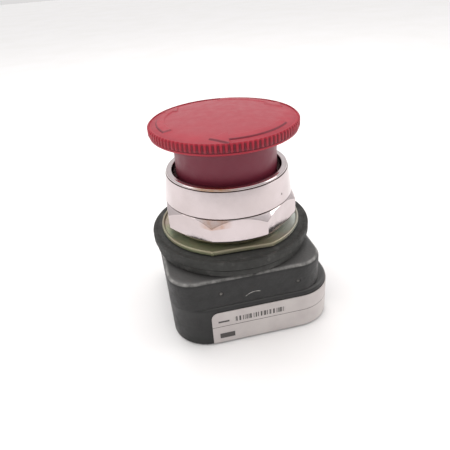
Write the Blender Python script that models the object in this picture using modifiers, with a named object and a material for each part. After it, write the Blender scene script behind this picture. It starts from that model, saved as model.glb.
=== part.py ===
"""Push and twist-to-release emergency stop operator for a 30 mm panel hole.

Run with: blender --background --python part.py

Frame: the origin is the centre of the rear face, on the operator's axis. +Z runs out of the
panel, towards the hand. -Y is the labelled front of the base. Sizes below are millimetres,
heights are measured from the rear face, and MM turns them into metres.
"""

import math

import bmesh
import bpy
from mathutils import Matrix, Vector

MM = 0.001
GAP = 0.3               # clearance between pieces that touch
MERGE = 0.00001         # merge distance, in metres

# Motion
PRESS_TRAVEL = 6.0      # the head sinks this far
TWIST_ANGLE = 30.0      # the head turns clockwise this far, in degrees
LATCH_TRAVEL = 0.8      # the latch pins move in this far over the press

# Base
BASE_WIDTH, BASE_DEPTH, BASE_HEIGHT = 47.4, 45.3, 13.0
BASE_SHIFT = 1.8        # the base stands out further on the right
BASE_CORNER = 10.5
COVER_THICK = 1.5
COVER_INSET = 1.5
CAVITY_HALF_X, CAVITY_HALF_Y, CAVITY_TOP = 16.5, 12.0, 11.4
HOUSING_SCREW_AT = 16.2
COVER_SCREW_X = 18.6
INSERT_Y = 16.8         # contact block screws, either side of the axis
CONTACT_X = 12.0        # contact block plungers, either side of the axis
CONTACT_HALF = 4.5

# Operator body, above the base
BODY_WIDTH, BODY_DEPTH, BODY_CORNER = 44.4, 44.6, 7.5
BODY_BOTTOM = BASE_HEIGHT + 0.06     # sits on the base
BODY_TOP = 22.2
PIN_HEIGHT = 18.0       # latch pins, along X
DOWEL_AT = ((-8.5, 17.4), (13.8, 16.7))     # x and height
DOWEL_RADIUS = 0.5

# Bushing
THREAD_RADIUS, THREAD_DEPTH, THREAD_PITCH = 15.0, 0.45, 1.5
FLANGE_RADIUS, FLANGE_TOP = 17.0, 15.6
BUSHING_BORE, LIP_BOTTOM, BUSHING_TOP = 12.0, 32.0, 35.4

# Discs on the bushing
SPACER_RADIUS, SPACER_TOP = 22.9, 24.5
GASKET_RADIUS, GASKET_TOP = 23.5, 27.3
WASHER_RADIUS, WASHER_THICK, WASHER_TOP = 20.6, 0.7, 28.9
WASHER_FLAT, WASHER_TURN = 18.95, -2.5

# Mounting ring
RING_TURN = -4.0
HUB_RADIUS, NUT_BOTTOM, NUT_TOP = 16.4, 30.4, 37.4
NUT_FLATS = 36.7
NUT_CHAMFER = 35.6      # height at which the chamfer meets the corners
BAND_BOTTOM_RADIUS, BAND_TOP_RADIUS, BAND_TOP = 18.5, 17.45, 45.0
RING_TOP, RING_BORE = 45.9, 15.6

# Head
HEAD_RADIUS, KNURL_ROOT, KNURL_COUNT = 20.65, 20.2, 100
KNURL_BOTTOM, KNURL_TOP = 56.6, 58.5
DOME_TOP = 60.4
HEAD_UNDERSIDE = 55.9
SKIRT_RADIUS, SKIRT_BORE, SKIRT_BOTTOM = 14.4, 12.6, 42.0
BOSS_RADIUS, BOSS_BORE, BOSS_BOTTOM, BOSS_BORE_TOP = 7.0, 5.5, 46.5, 55.8
ARROW_TAIL, ARROW_BARB, ARROW_TIP = 50.0, -8.0, -24.0   # degrees round from the front
ARROW_OUTER, ARROW_INNER = 18.2, 15.9
BARB_OUTER, BARB_INNER, TIP_RADIUS = 20.0, 14.2, 17.6
ARROW_RAISE = 0.3

# Shaft and cam
SHAFT_RADIUS, SHAFT_TOP, SHAFT_SHOULDER, SHAFT_BOTTOM = 3.5, 55.2, 11.3, 7.9
STEM_RADIUS = 2.4
CAM_BOTTOM, CAM_TOP, CAM_RADIUS = 12.5, 31.5, 7.2
CONE_BOTTOM, CONE_TOP, CONE_SMALL = 16.0, 24.0, 6.0
LUG_BOTTOM, LUG_TOP, LUG_RADIUS, LUG_HALF = 23.0, 26.5, 9.2, 12.0
CROSS_PIN_HEIGHT = 29.5
STOP_BOTTOM, STOP_TOP, STOP_BORE, STOP_WINDOW = 15.9, 27.0, 7.7, 9.7


def clear_scene():
    for obj in list(bpy.data.objects):
        bpy.data.objects.remove(obj)


def make_collection(name):
    collection = bpy.data.collections.new(name)
    bpy.context.scene.collection.children.link(collection)
    return collection


clear_scene()
PARTS = make_collection("emergency_stop_button")
CUTTERS = make_collection("cutters")


def material(name, colour, roughness, metallic=0.0):
    finish = bpy.data.materials.new(name)
    finish.use_nodes = True
    shader = finish.node_tree.nodes["Principled BSDF"]
    shader.inputs["Base Color"].default_value = (*colour, 1.0)
    shader.inputs["Roughness"].default_value = roughness
    shader.inputs["Metallic"].default_value = metallic
    finish.diffuse_color = (*colour, 1.0)
    return finish


RED = material("red_plastic", (0.55, 0.03, 0.05), 0.4)
BLACK = material("black_plastic", (0.03, 0.03, 0.03), 0.5)
PAINT = material("black_paint", (0.05, 0.05, 0.05), 0.45)
RUBBER = material("black_rubber", (0.02, 0.02, 0.02), 0.8)
CHROME = material("chrome", (0.85, 0.83, 0.84), 0.12, 1.0)
ZINC_YELLOW = material("yellow_zinc", (0.55, 0.52, 0.3), 0.3, 1.0)
DIE_CAST = material("die_cast_zinc", (0.5, 0.5, 0.5), 0.4, 1.0)
STEEL = material("steel", (0.6, 0.6, 0.6), 0.3, 1.0)
BRASS = material("brass", (0.75, 0.55, 0.25), 0.3, 1.0)
ACETAL = material("white_acetal", (0.75, 0.74, 0.7), 0.45)
LABEL = material("label_foil", (0.6, 0.58, 0.56), 0.4)


# ---- shape helpers -------------------------------------------------------------------------

def place(mesh, name, finish, collection=None):
    obj = bpy.data.objects.new(name, mesh)
    (collection or PARTS).objects.link(obj)
    if finish:
        mesh.materials.append(finish)
    return obj


def hide_cutter(obj):
    obj.hide_render = True
    obj.display_type = "WIRE"
    return obj


def bake(obj):
    """Replace an object's mesh with its evaluated mesh, with loose doubles welded."""
    bpy.context.view_layer.update()
    evaluated = obj.evaluated_get(bpy.context.evaluated_depsgraph_get())
    mesh = bpy.data.meshes.new_from_object(evaluated)
    form = bmesh.new()
    form.from_mesh(mesh)
    bmesh.ops.remove_doubles(form, verts=form.verts, dist=MERGE)
    form.to_mesh(mesh)
    form.free()
    name, finish, where = obj.name, obj.active_material, obj.matrix_world.copy()
    collection = obj.users_collection[0]
    bpy.data.objects.remove(obj)
    baked = place(mesh, name, None, collection)
    baked.matrix_world = where
    if finish and not mesh.materials:
        mesh.materials.append(finish)
    return baked


def smooth(obj, angle=35.0):
    obj.data.shade_smooth()
    obj.data.set_sharp_from_angle(angle=math.radians(angle))
    return obj


def turned(name, profile, finish, steps=40, collection=None):
    """Turn a closed (radius, height) outline about Z. It runs down its outer side."""
    on_axis = profile[0][0] == 0.0 and profile[-1][0] == 0.0
    count = len(profile)
    edges = [(i, i + 1) for i in range(count - 1)] + ([] if on_axis else [(count - 1, 0)])
    mesh = bpy.data.meshes.new(name)
    mesh.from_pydata([(r * MM, 0.0, z * MM) for r, z in profile], edges, [])
    obj = place(mesh, name, finish, collection)
    screw = obj.modifiers.new("turn", "SCREW")
    screw.angle = math.tau
    screw.steps = screw.render_steps = steps
    screw.axis = "Z"
    screw.use_merge_vertices = True
    screw.merge_threshold = MERGE
    return smooth(bake(obj))


def tube(name, outer, inner, bottom, top, finish, steps=32, collection=None):
    outline = [(outer, top), (outer, bottom), (inner, bottom), (inner, top)]
    return turned(name, outline, finish, steps, collection)


def rod(name, radius, start, end, finish=None, steps=16, collection=None, far_radius=None):
    """A closed cylinder or cone between two points in millimetres."""
    start, end = Vector(start) * MM, Vector(end) * MM
    along = end - start
    form = bmesh.new()
    bmesh.ops.create_cone(
        form, cap_ends=True, segments=steps, radius1=radius * MM,
        radius2=(radius if far_radius is None else far_radius) * MM, depth=along.length)
    turn = along.to_track_quat("Z", "Y").to_matrix().to_4x4()
    bmesh.ops.transform(form, matrix=Matrix.Translation((start + end) / 2) @ turn, verts=form.verts)
    mesh = bpy.data.meshes.new(name)
    form.to_mesh(mesh)
    form.free()
    return place(mesh, name, finish, collection)


def rounded_block(name, width, depth, bottom, top, corner, finish=None, centre_x=0.0,
                  edge=0.0, collection=None, segments=7):
    """A block with round upright corners. edge rounds its top and bottom edges."""
    form = bmesh.new()
    bmesh.ops.create_cube(form, size=1.0)
    size = Matrix.Diagonal((width * MM, depth * MM, (top - bottom) * MM, 1.0))
    middle = Matrix.Translation((centre_x * MM, 0.0, (bottom + top) / 2 * MM))
    bmesh.ops.transform(form, matrix=middle @ size, verts=form.verts)
    if corner:
        upright = [e for e in form.edges if abs(e.verts[0].co.z - e.verts[1].co.z) > MERGE]
        bmesh.ops.bevel(form, geom=upright, offset=corner * MM, offset_type="OFFSET",
                        segments=segments, profile=0.5, affect="EDGES")
    mesh = bpy.data.meshes.new(name)
    form.to_mesh(mesh)
    form.free()
    obj = place(mesh, name, finish, collection)
    if edge:
        rounding = obj.modifiers.new("rounded_edges", "BEVEL")
        rounding.width = edge * MM
        rounding.segments = 2
        rounding.limit_method = "ANGLE"
        rounding.angle_limit = math.radians(50)
        obj = bake(obj)
    return obj


def cutter(obj):
    CUTTERS.objects.link(obj)
    for collection in list(obj.users_collection):
        if collection != CUTTERS:
            collection.objects.unlink(obj)
    return hide_cutter(obj)


def boolean(obj, tool, operation="DIFFERENCE"):
    step = obj.modifiers.new(f"{operation.lower()}_{tool.name}", "BOOLEAN")
    step.operation = operation
    step.solver = "EXACT"
    step.object = cutter(tool) if CUTTERS not in tool.users_collection else tool
    return obj


def bore(obj, radius, start, end, steps=24):
    return boolean(obj, rod(f"{obj.name}_bore", radius, start, end, steps=steps))


def drill_up(obj, radius, x, y, bottom, top, steps=16):
    return bore(obj, radius, (x, y, bottom), (x, y, top), steps)


def outline_solid(name, outline, bottom, top, finish=None, collection=None):
    """A flat closed outline of (x, y) points, given a thickness."""
    curve = bpy.data.curves.new(name, "CURVE")
    curve.dimensions = "2D"
    curve.fill_mode = "BOTH"
    curve.extrude = (top - bottom) / 2 * MM
    spline = curve.splines.new("POLY")
    spline.points.add(len(outline) - 1)
    for point, (x, y) in zip(spline.points, outline):
        point.co = (x * MM, y * MM, 0.0, 1.0)
    spline.use_cyclic_u = True
    obj = bpy.data.objects.new(name, curve)
    (collection or PARTS).objects.link(obj)
    obj.location.z = (bottom + top) / 2 * MM
    if finish:
        curve.materials.append(finish)
    return bake(obj)


def coil(name, radius, wire, bottom, top, turns, finish, axis="Z", centre=(0.0, 0.0, 0.0), points=12):
    """A helical spring whose wire stays between bottom and top, measured along its axis."""
    count = int(turns * points) + 1
    low, high = bottom + wire, top - wire
    path = []
    for i in range(count):
        angle = math.tau * i / points
        along = low + (high - low) * i / (count - 1)
        path.append(Vector((radius * math.cos(angle), radius * math.sin(angle), along)))
    if axis == "X":
        path = [Vector((p.z, p.x, p.y)) for p in path]
    elif axis == "-X":
        path = [Vector((-p.z, p.x, p.y)) for p in path]
    curve = bpy.data.curves.new(name, "CURVE")
    curve.dimensions = "3D"
    curve.bevel_depth = wire * MM
    curve.bevel_resolution = 1
    curve.use_fill_caps = True
    spline = curve.splines.new("POLY")
    spline.points.add(count - 1)
    for point, place_at in zip(spline.points, path):
        point.co = ((place_at + Vector(centre)) * MM).to_4d()
    curve.materials.append(finish)
    obj = bpy.data.objects.new(name, curve)
    PARTS.objects.link(obj)
    return smooth(bake(obj), 60)


def around(radius, degrees):
    """A point at an angle from the front (-Y), turning towards +X."""
    turn = math.radians(degrees - 90.0)
    return radius * math.cos(turn), radius * math.sin(turn)


def arc(radius, start, end, count):
    return [around(radius, start + (end - start) * i / (count - 1)) for i in range(count)]


# ---- base -----------------------------------------------------------------------------------

def screw_corners():
    at = HOUSING_SCREW_AT
    return [(x, y) for x in (-at, at) for y in (-at, at)]


def cover_screw_points():
    return [(-COVER_SCREW_X, 0.0), (COVER_SCREW_X + BASE_SHIFT, 0.0)]


def base_housing():
    base = rounded_block("base_housing", BASE_WIDTH, BASE_DEPTH, 0.0, BASE_HEIGHT, BASE_CORNER,
                         BLACK, BASE_SHIFT, edge=0.8)
    cavity = rounded_block("base_cavity", 2 * CAVITY_HALF_X, 2 * CAVITY_HALF_Y, -1.0, CAVITY_TOP,
                           3.0, segments=3)
    rebate = rounded_block(
        "cover_rebate", BASE_WIDTH - 2 * (COVER_INSET - GAP), BASE_DEPTH - 2 * (COVER_INSET - GAP),
        -1.0, COVER_THICK + GAP, BASE_CORNER - COVER_INSET + GAP, centre_x=BASE_SHIFT)
    boolean(base, cavity)
    boolean(base, rebate)
    drill_up(base, CAM_RADIUS + 1.0, 0.0, 0.0, CAVITY_TOP - 1.0, BASE_HEIGHT + 1.0, 32)
    for x, y in screw_corners():
        drill_up(base, 3.2, x, y, 0.0, 5.3)
        drill_up(base, 1.8, x, y, 4.0, BASE_HEIGHT + 1.0)
    for side in (-1, 1):
        drill_up(base, 2.9, 0.0, side * INSERT_Y, 0.0, 10.4)
        drill_up(base, 1.5, 0.0, side * 9.5, CAVITY_TOP - 0.5, 12.4, 12)
    for x, y in cover_screw_points():
        drill_up(base, 1.1, x, y, 0.0, 8.0, 12)
    return smooth(bake(base))


def rear_cover():
    cover = rounded_block(
        "rear_cover", BASE_WIDTH - 2 * COVER_INSET, BASE_DEPTH - 2 * COVER_INSET, 0.0, COVER_THICK,
        BASE_CORNER - COVER_INSET, PAINT, BASE_SHIFT)
    for side in (-1, 1):
        window = rounded_block("contact_window", 2 * CONTACT_HALF, 2 * CONTACT_HALF, -1.0,
                               COVER_THICK + 1.0, 0.8, centre_x=side * CONTACT_X, segments=2)
        boolean(cover, window)
        drill_up(cover, 2.1, 0.0, side * INSERT_Y, -1.0, COVER_THICK + 1.0)
        drill_up(cover, 1.5, 0.0, side * 9.5, 0.6, COVER_THICK + 1.0, 12)
    for x, y in cover_screw_points():
        drill_up(cover, 1.15, x, y, -1.0, COVER_THICK + 1.0, 12)
        boolean(cover, rod("countersink", 2.0, (x, y, -0.1), (x, y, 0.8), steps=12, far_radius=1.1))
    return smooth(bake(cover))


def slotted(obj, radius, bottom, depth, centre=(0.0, 0.0)):
    """Cut a screwdriver slot up into a screw's lower face."""
    slot = rounded_block(f"{obj.name}_slot", 2 * radius + 1.0, 0.7, bottom - 1.0, bottom + depth, 0.0)
    slot.location = Vector((centre[0], centre[1], 0.0)) * MM
    return boolean(obj, slot)


def cover_screws():
    for (x, y), side in zip(cover_screw_points(), ("left", "right")):
        outline = [(0.0, 7.4), (0.8, 7.4), (0.8, 0.9), (1.5, 0.25), (1.5, 0.05), (0.0, 0.05)]
        screw = turned(f"cover_screw_{side}", outline, STEEL, 12)
        screw.location = Vector((x, y, 0.0)) * MM
        smooth(bake(slotted(screw, 1.5, 0.05, 0.4, (x, y))))


def housing_screws():
    for i, (x, y) in enumerate(screw_corners(), 1):
        outline = [(0.0, 19.6), (1.45, 19.6), (1.45, 5.0), (2.9, 5.0), (2.9, 2.6), (2.5, 2.2), (0.0, 2.2)]
        screw = turned(f"housing_screw_{i}", outline, STEEL, 12)
        screw.location = Vector((x, y, 0.0)) * MM
        smooth(bake(slotted(screw, 2.9, 2.2, 0.9, (x, y))))


def contact_insert(name, side):
    insert = tube(name, 2.6, 1.6, 2.1, 10.0, BRASS, 16)
    insert.location.y = side * INSERT_Y * MM
    return insert


def guide_pins():
    for side, word in ((-1, "front"), (1, "rear")):
        smooth(rod(f"guide_pin_{word}", 1.2, (0.0, side * 9.5, 0.9), (0.0, side * 9.5, 12.1), STEEL, 12))


def rating_label():
    """A thin blank label on the front that wraps round the right corner."""
    stand_off, thick, low, high, round_end = 0.08, 0.2, 0.4, 11.3, 2.0
    front = -BASE_DEPTH / 2
    right = BASE_SHIFT + BASE_WIDTH / 2
    corner = Vector((right - BASE_CORNER, front + BASE_CORNER))
    columns = []
    left = -11.9
    for i in range(5):
        turn = math.radians(90 * i / 4)
        drop = round_end * (1 - math.sin(turn))
        columns.append((left + round_end * (1 - math.cos(turn)), front, high - drop, 0.0))
    for x in (-2.0, 8.0, corner.x):
        columns.append((x, front, high, 0.0))
    steps = 8
    for i in range(1, steps + 1):
        turn = math.radians(80 * i / steps)
        columns.append((corner.x + BASE_CORNER * math.sin(turn),
                        corner.y - BASE_CORNER * math.cos(turn), high, turn))
    form = bmesh.new()
    rows = []
    for x, y, top, turn in columns:
        out = Vector((math.sin(turn), -math.cos(turn), 0.0))
        ring = []
        for push in (stand_off, stand_off + thick):
            at = Vector((x, y, 0.0)) + out * push
            ring += [form.verts.new((at.x * MM, at.y * MM, z * MM)) for z in (low, top)]
        inner_low, inner_top, outer_low, outer_top = ring
        rows.append([inner_low, outer_low, outer_top, inner_top])
    for first, second in zip(rows, rows[1:]):
        for i in range(4):
            j = (i + 1) % 4
            form.faces.new((first[i], second[i], second[j], first[j]))
    form.faces.new(rows[0])
    form.faces.new(list(reversed(rows[-1])))
    bmesh.ops.recalc_face_normals(form, faces=form.faces)
    mesh = bpy.data.meshes.new("rating_label")
    form.to_mesh(mesh)
    form.free()
    return smooth(place(mesh, "rating_label", LABEL))


# ---- operator body --------------------------------------------------------------------------

def operator_body():
    body = rounded_block("operator_body", BODY_WIDTH, BODY_DEPTH, BODY_BOTTOM, BODY_TOP, BODY_CORNER,
                         PAINT, edge=1.2)
    drill_up(body, THREAD_RADIUS + GAP, 0.0, 0.0, BODY_BOTTOM, BODY_TOP + 1.0, 36)
    drill_up(body, FLANGE_RADIUS + GAP, 0.0, 0.0, BODY_BOTTOM - 1.0, FLANGE_TOP + GAP, 36)
    groove = tube("seal_groove", 19.7, 18.0, BODY_BOTTOM - 1.0, 14.7, None, 36)
    boolean(body, groove)
    for x, y in screw_corners():
        drill_up(body, 1.75, x, y, BODY_BOTTOM - 1.0, 20.0)
    for side in (-1, 1):
        bore(body, 2.5, (side * 14.0, 0.0, PIN_HEIGHT), (side * (BODY_WIDTH / 2 + 1), 0.0, PIN_HEIGHT), 16)
    front = -BODY_DEPTH / 2
    for x, z in DOWEL_AT:
        bore(body, DOWEL_RADIUS + 0.2, (x, front - 1.0, z), (x, front + 3.8, z), 12)
    return smooth(bake(body))


def dowel_pins():
    front = -BODY_DEPTH / 2
    for (x, z), side in zip(DOWEL_AT, ("left", "right")):
        smooth(rod(f"dowel_pin_{side}", DOWEL_RADIUS, (x, front, z), (x, front + 3.5, z), STEEL, 12))


def latch_spring(name, side):
    axis = "X" if side > 0 else "-X"
    return coil(name, 1.7, 0.25, 13.9, 19.3, 4, STEEL, axis, (0.0, 0.0, PIN_HEIGHT), points=8)


def latch_plug(name, side):
    """A slotted grub screw that closes the latch pin's bore."""
    plug = rod(name, 2.2, (side * 19.6, 0.0, PIN_HEIGHT), (side * 21.9, 0.0, PIN_HEIGHT), STEEL, 16)
    slot = rounded_block("plug_slot", 2.0, 5.0, PIN_HEIGHT - 0.35, PIN_HEIGHT + 0.35, 0.0,
                         centre_x=side * 22.2)
    return smooth(bake(boolean(plug, slot)))


# ---- bushing and the discs on it ---------------------------------------------------------------

def threaded_bushing():
    root = THREAD_RADIUS - THREAD_DEPTH
    outline = [(root, BUSHING_TOP)]
    height = BUSHING_TOP - 0.6
    while height - THREAD_PITCH > BODY_TOP + 0.5:
        outline += [(THREAD_RADIUS, height), (root, height - THREAD_PITCH / 2)]
        height -= THREAD_PITCH
    outline += [(THREAD_RADIUS, height), (THREAD_RADIUS, FLANGE_TOP), (FLANGE_RADIUS, FLANGE_TOP),
                (FLANGE_RADIUS, 13.6), (BUSHING_BORE, 13.6), (BUSHING_BORE, LIP_BOTTOM),
                (5.2, LIP_BOTTOM), (5.2, BUSHING_TOP)]
    bushing = turned("threaded_bushing", outline, DIE_CAST, 32)
    for side in (-1, 1):
        bore(bushing, 1.95, (side * 11.0, 0.0, PIN_HEIGHT), (side * 16.0, 0.0, PIN_HEIGHT), 16)
    return smooth(bake(bushing))


def flat_disc(name, radius, bottom, top, finish):
    edge = 0.3
    outline = [(radius - edge, top), (radius, top - edge), (radius, bottom),
               (THREAD_RADIUS + GAP, bottom), (THREAD_RADIUS + GAP, top)]
    return turned(name, outline, finish)


def trim_washer():
    """A thin plated washer with an upturned rim, cut by one straight side with its own rim."""
    bottom = WASHER_TOP - 1.4
    floor = bottom + WASHER_THICK
    rim = WASHER_RADIUS - WASHER_THICK
    disc = turned("trim_washer", [(WASHER_RADIUS, WASHER_TOP), (WASHER_RADIUS, bottom + 0.3),
                                  (WASHER_RADIUS - 0.3, bottom), (THREAD_RADIUS + 0.4, bottom),
                                  (THREAD_RADIUS + 0.4, WASHER_TOP)], ZINC_YELLOW, 60)
    turn = math.radians(WASHER_TURN)
    for cut_at, low, label in ((WASHER_FLAT, bottom - 1.0, "flat_side"),):
        side = rounded_block(label, 60.0, 10.0, low, WASHER_TOP + 1.0, 0.0)
        side.matrix_world = Matrix.Rotation(turn, 4, "Z") @ Matrix.Translation((0, -(cut_at + 5) * MM, 0))
        boolean(disc, side)
    dish = rod("dish", rim, (0.0, 0.0, floor), (0.0, 0.0, WASHER_TOP + 1.0), steps=60)
    wall = rounded_block("dish_wall", 60.0, 10.0, bottom - 2.0, WASHER_TOP + 2.0, 0.0)
    wall.matrix_world = (Matrix.Rotation(turn, 4, "Z")
                         @ Matrix.Translation((0, -(WASHER_FLAT - WASHER_THICK + 5) * MM, 0)))
    boolean(dish, wall)
    boolean(disc, bake(dish))
    disc = bake(disc)
    tab_x, tab_y = around(WASHER_RADIUS - 0.25, WASHER_TURN - 24.5)
    tab = rounded_block("locating_tab", 0.9, 0.6, bottom - 0.15, WASHER_TOP - 0.3, 0.0)
    tab.matrix_world = (Matrix.Translation((tab_x * MM, tab_y * MM, 0))
                        @ Matrix.Rotation(math.radians(WASHER_TURN - 24.5), 4, "Z"))
    boolean(disc, tab, "UNION")
    return smooth(bake(disc))


def mounting_ring():
    """A chromed ring nut: a smooth flared band with a beaded lip over an octagonal nut."""
    bead_mid = (RING_BORE + 17.3) / 2
    bead_half = (17.3 - RING_BORE) / 2
    bead = [(bead_mid + bead_half * math.cos(math.radians(a)),
             RING_TOP - bead_half + bead_half * math.sin(math.radians(a))) for a in (140, 90, 40, 0)]
    corner = NUT_FLATS / 2 / math.cos(math.radians(22.5))
    flare_top = (18.2, NUT_TOP)
    outline = bead + [
        (17.15, BAND_TOP + 0.1), (17.15, BAND_TOP - 0.1), (BAND_TOP_RADIUS, BAND_TOP - 0.2),
        (BAND_BOTTOM_RADIUS, NUT_TOP + 0.4), (17.9, NUT_TOP + 0.3), (17.9, NUT_TOP + 0.1), flare_top,
        (corner + 0.05, NUT_CHAMFER), (corner + 0.05, NUT_BOTTOM + 0.9), (corner - 1.4, NUT_BOTTOM),
        (HUB_RADIUS, NUT_BOTTOM), (HUB_RADIUS, 28.5), (THREAD_RADIUS + GAP, 28.5),
        (THREAD_RADIUS + GAP, 36.2), (RING_BORE, 36.6), (RING_BORE, RING_TOP - bead_half)]
    ring = turned("mounting_ring", outline, CHROME, 48)
    prism = rod("octagon", corner, (0.0, 0.0, 20.0), (0.0, 0.0, NUT_TOP + 0.05), steps=8)
    prism.matrix_world = Matrix.Rotation(math.radians(RING_TURN + 22.5), 4, "Z")
    shell = rod("nut_blank", corner + 3.0, (0.0, 0.0, 19.0), (0.0, 0.0, NUT_TOP + 0.05), steps=32)
    boolean(shell, prism)
    return smooth(bake(boolean(ring, bake(shell))), 25)


# ---- head and shaft ------------------------------------------------------------------------------

def arrow_outline():
    """A clockwise arrow, with a notched tail, as points round from the front."""
    outer = arc(ARROW_OUTER, ARROW_TAIL, ARROW_BARB, 12)
    inner = arc(ARROW_INNER, ARROW_BARB, ARROW_TAIL + 3.0, 10)
    return (outer + [around(BARB_OUTER, ARROW_BARB), around(TIP_RADIUS, ARROW_TIP),
                     around(BARB_INNER, ARROW_BARB)] + inner)


def mushroom_cap():
    """The red head: domed top with three raised arrows, knurled rim, hollow skirt and boss."""
    dome = [(0.0, DOME_TOP), (6.0, 60.32), (11.0, 60.05), (15.0, 59.65), (18.4, 59.15),
            (19.9, 58.85)]
    outline = dome + [
               (KNURL_ROOT, KNURL_TOP), (KNURL_ROOT, KNURL_BOTTOM),
               (20.3, KNURL_BOTTOM - 0.2), (20.0, HEAD_UNDERSIDE + 0.1), (19.4, HEAD_UNDERSIDE),
               (SKIRT_RADIUS + 1.2, HEAD_UNDERSIDE), (SKIRT_RADIUS + 0.3, 55.5),
               (SKIRT_RADIUS, 54.6), (SKIRT_RADIUS, SKIRT_BOTTOM + 0.3),
               (SKIRT_RADIUS - 0.3, SKIRT_BOTTOM), (SKIRT_BORE, SKIRT_BOTTOM), (SKIRT_BORE, 56.3),
               (BOSS_RADIUS, 56.3), (BOSS_RADIUS, BOSS_BOTTOM), (BOSS_BORE, BOSS_BOTTOM),
               (BOSS_BORE, BOSS_BORE_TOP), (0.0, BOSS_BORE_TOP)]
    cap = turned("mushroom_cap", outline, RED, 40)
    teeth = []
    for i in range(KNURL_COUNT):
        middle = 360.0 * i / KNURL_COUNT
        quarter = 90.0 / KNURL_COUNT
        teeth += [around(HEAD_RADIUS, middle), around(KNURL_ROOT - 0.1, middle + 2 * quarter)]
    boolean(cap, outline_solid("knurl", teeth, KNURL_BOTTOM, KNURL_TOP), "UNION")
    raised = [(r + (0.2 if r else 0.0), z + ARROW_RAISE) for r, z in dome] + [(20.1, 58.0), (0.0, 58.0)]
    for third in range(3):
        arrow = outline_solid(f"arrow_{third}", arrow_outline(), 58.3, DOME_TOP + 1.0)
        arrow.matrix_world = Matrix.Rotation(-third * math.tau / 3, 4, "Z") @ arrow.matrix_world
        boolean(arrow, turned(f"raised_dome_{third}", raised, None), "INTERSECT")
        boolean(cap, bake(arrow), "UNION")
    return smooth(bake(cap), 30)


def plunger_shaft():
    outline = [(0.0, SHAFT_TOP), (SHAFT_RADIUS - 0.4, SHAFT_TOP), (SHAFT_RADIUS, SHAFT_TOP - 0.4),
               (SHAFT_RADIUS, SHAFT_SHOULDER), (STEM_RADIUS, SHAFT_SHOULDER), (STEM_RADIUS, 9.0),
               (1.9, 9.0), (1.9, 8.4), (STEM_RADIUS, 8.4), (STEM_RADIUS, SHAFT_BOTTOM), (0.0, SHAFT_BOTTOM)]
    shaft = turned("plunger_shaft", outline, STEEL, 16)
    bore(shaft, 1.25, (-5.0, 0.0, CROSS_PIN_HEIGHT), (5.0, 0.0, CROSS_PIN_HEIGHT), 12)
    return smooth(bake(shaft))


def twist_cam():
    """The sleeve on the shaft: a cone for the latch pins to ride on and two stop lugs."""
    inner = SHAFT_RADIUS + GAP
    outline = [(CONE_SMALL - 0.6, CAM_TOP), (CONE_SMALL - 0.6, 27.2), (CONE_SMALL, 27.0),
               (CONE_SMALL, CONE_TOP), (CAM_RADIUS, CONE_BOTTOM), (CAM_RADIUS, CAM_BOTTOM),
               (inner, CAM_BOTTOM), (inner, CAM_TOP)]
    cam = turned("twist_cam", outline, ACETAL, 24)
    for front in (0.0, 180.0):
        lug = (arc(LUG_RADIUS, front - LUG_HALF, front + LUG_HALF, 4)
               + arc(CONE_SMALL - 0.8, front + LUG_HALF, front - LUG_HALF, 3))
        boolean(cam, outline_solid(f"lug_{int(front)}", lug, LUG_BOTTOM, LUG_TOP), "UNION")
    bore(cam, 1.25, (-8.0, 0.0, CROSS_PIN_HEIGHT), (8.0, 0.0, CROSS_PIN_HEIGHT), 12)
    return smooth(bake(cam))


def twist_stop_ring():
    """Fixed in the bushing, with a window for each lug that lets it turn by the twist angle."""
    ring = tube("twist_stop_ring", BUSHING_BORE - GAP, STOP_BORE, STOP_BOTTOM, STOP_TOP, ACETAL, 32)
    spare = 1.5
    for front in (0.0, 180.0):
        low, high = front - LUG_HALF - TWIST_ANGLE - spare, front + LUG_HALF + spare
        window = arc(STOP_WINDOW, low, high, 7) + arc(STOP_BORE - 1.0, high, low, 7)
        boolean(ring, outline_solid(f"window_{int(front)}", window, STOP_BOTTOM - 1, STOP_TOP + 1))
    for side in (-1, 1):
        bore(ring, 1.95, (side * 6.0, 0.0, PIN_HEIGHT), (side * 13.0, 0.0, PIN_HEIGHT), 16)
    return smooth(bake(ring))


def latch_pin(name, side):
    outline = [(0.0, 13.6), (1.6, 13.6), (1.6, 8.2), (1.1, 7.3), (0.0, 7.3)]
    pin = turned(name, outline, STEEL, 16)
    tip = Matrix.Rotation(math.radians(90 * side), 4, "Y")
    pin.data.transform(Matrix.Translation((0, 0, PIN_HEIGHT * MM)) @ tip)
    return pin


def actuator_plate():
    """The non-turning plate that the shaft drives down onto the contact blocks."""
    bottom, top = 9.3, 11.0
    plate = rounded_block("actuator_plate", 32.0, 9.0, bottom, top, 2.0, ACETAL, segments=3)
    cross = rounded_block("guide_arm", 6.0, 23.0, bottom, top, 1.5, segments=3)
    boolean(plate, cross, "UNION")
    for side in (-1, 1):
        foot = rounded_block("foot", 6.0, 6.0, 8.5, 10.0, 0.8, centre_x=side * CONTACT_X, segments=2)
        boolean(plate, foot, "UNION")
        drill_up(plate, 1.5, 0.0, side * 9.5, bottom - 1.0, top + 1.0, 12)
    drill_up(plate, STEM_RADIUS + 0.1, 0.0, 0.0, bottom - 1.0, top + 1.0, 24)
    return smooth(bake(plate))


def retaining_clip():
    """An E-clip in the groove at the foot of the shaft."""
    outline = arc(3.9, 30, 330, 16) + arc(2.2, 330, 30, 14)
    return smooth(outline_solid("retaining_clip", outline, 8.5, 8.9, STEEL))


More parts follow.
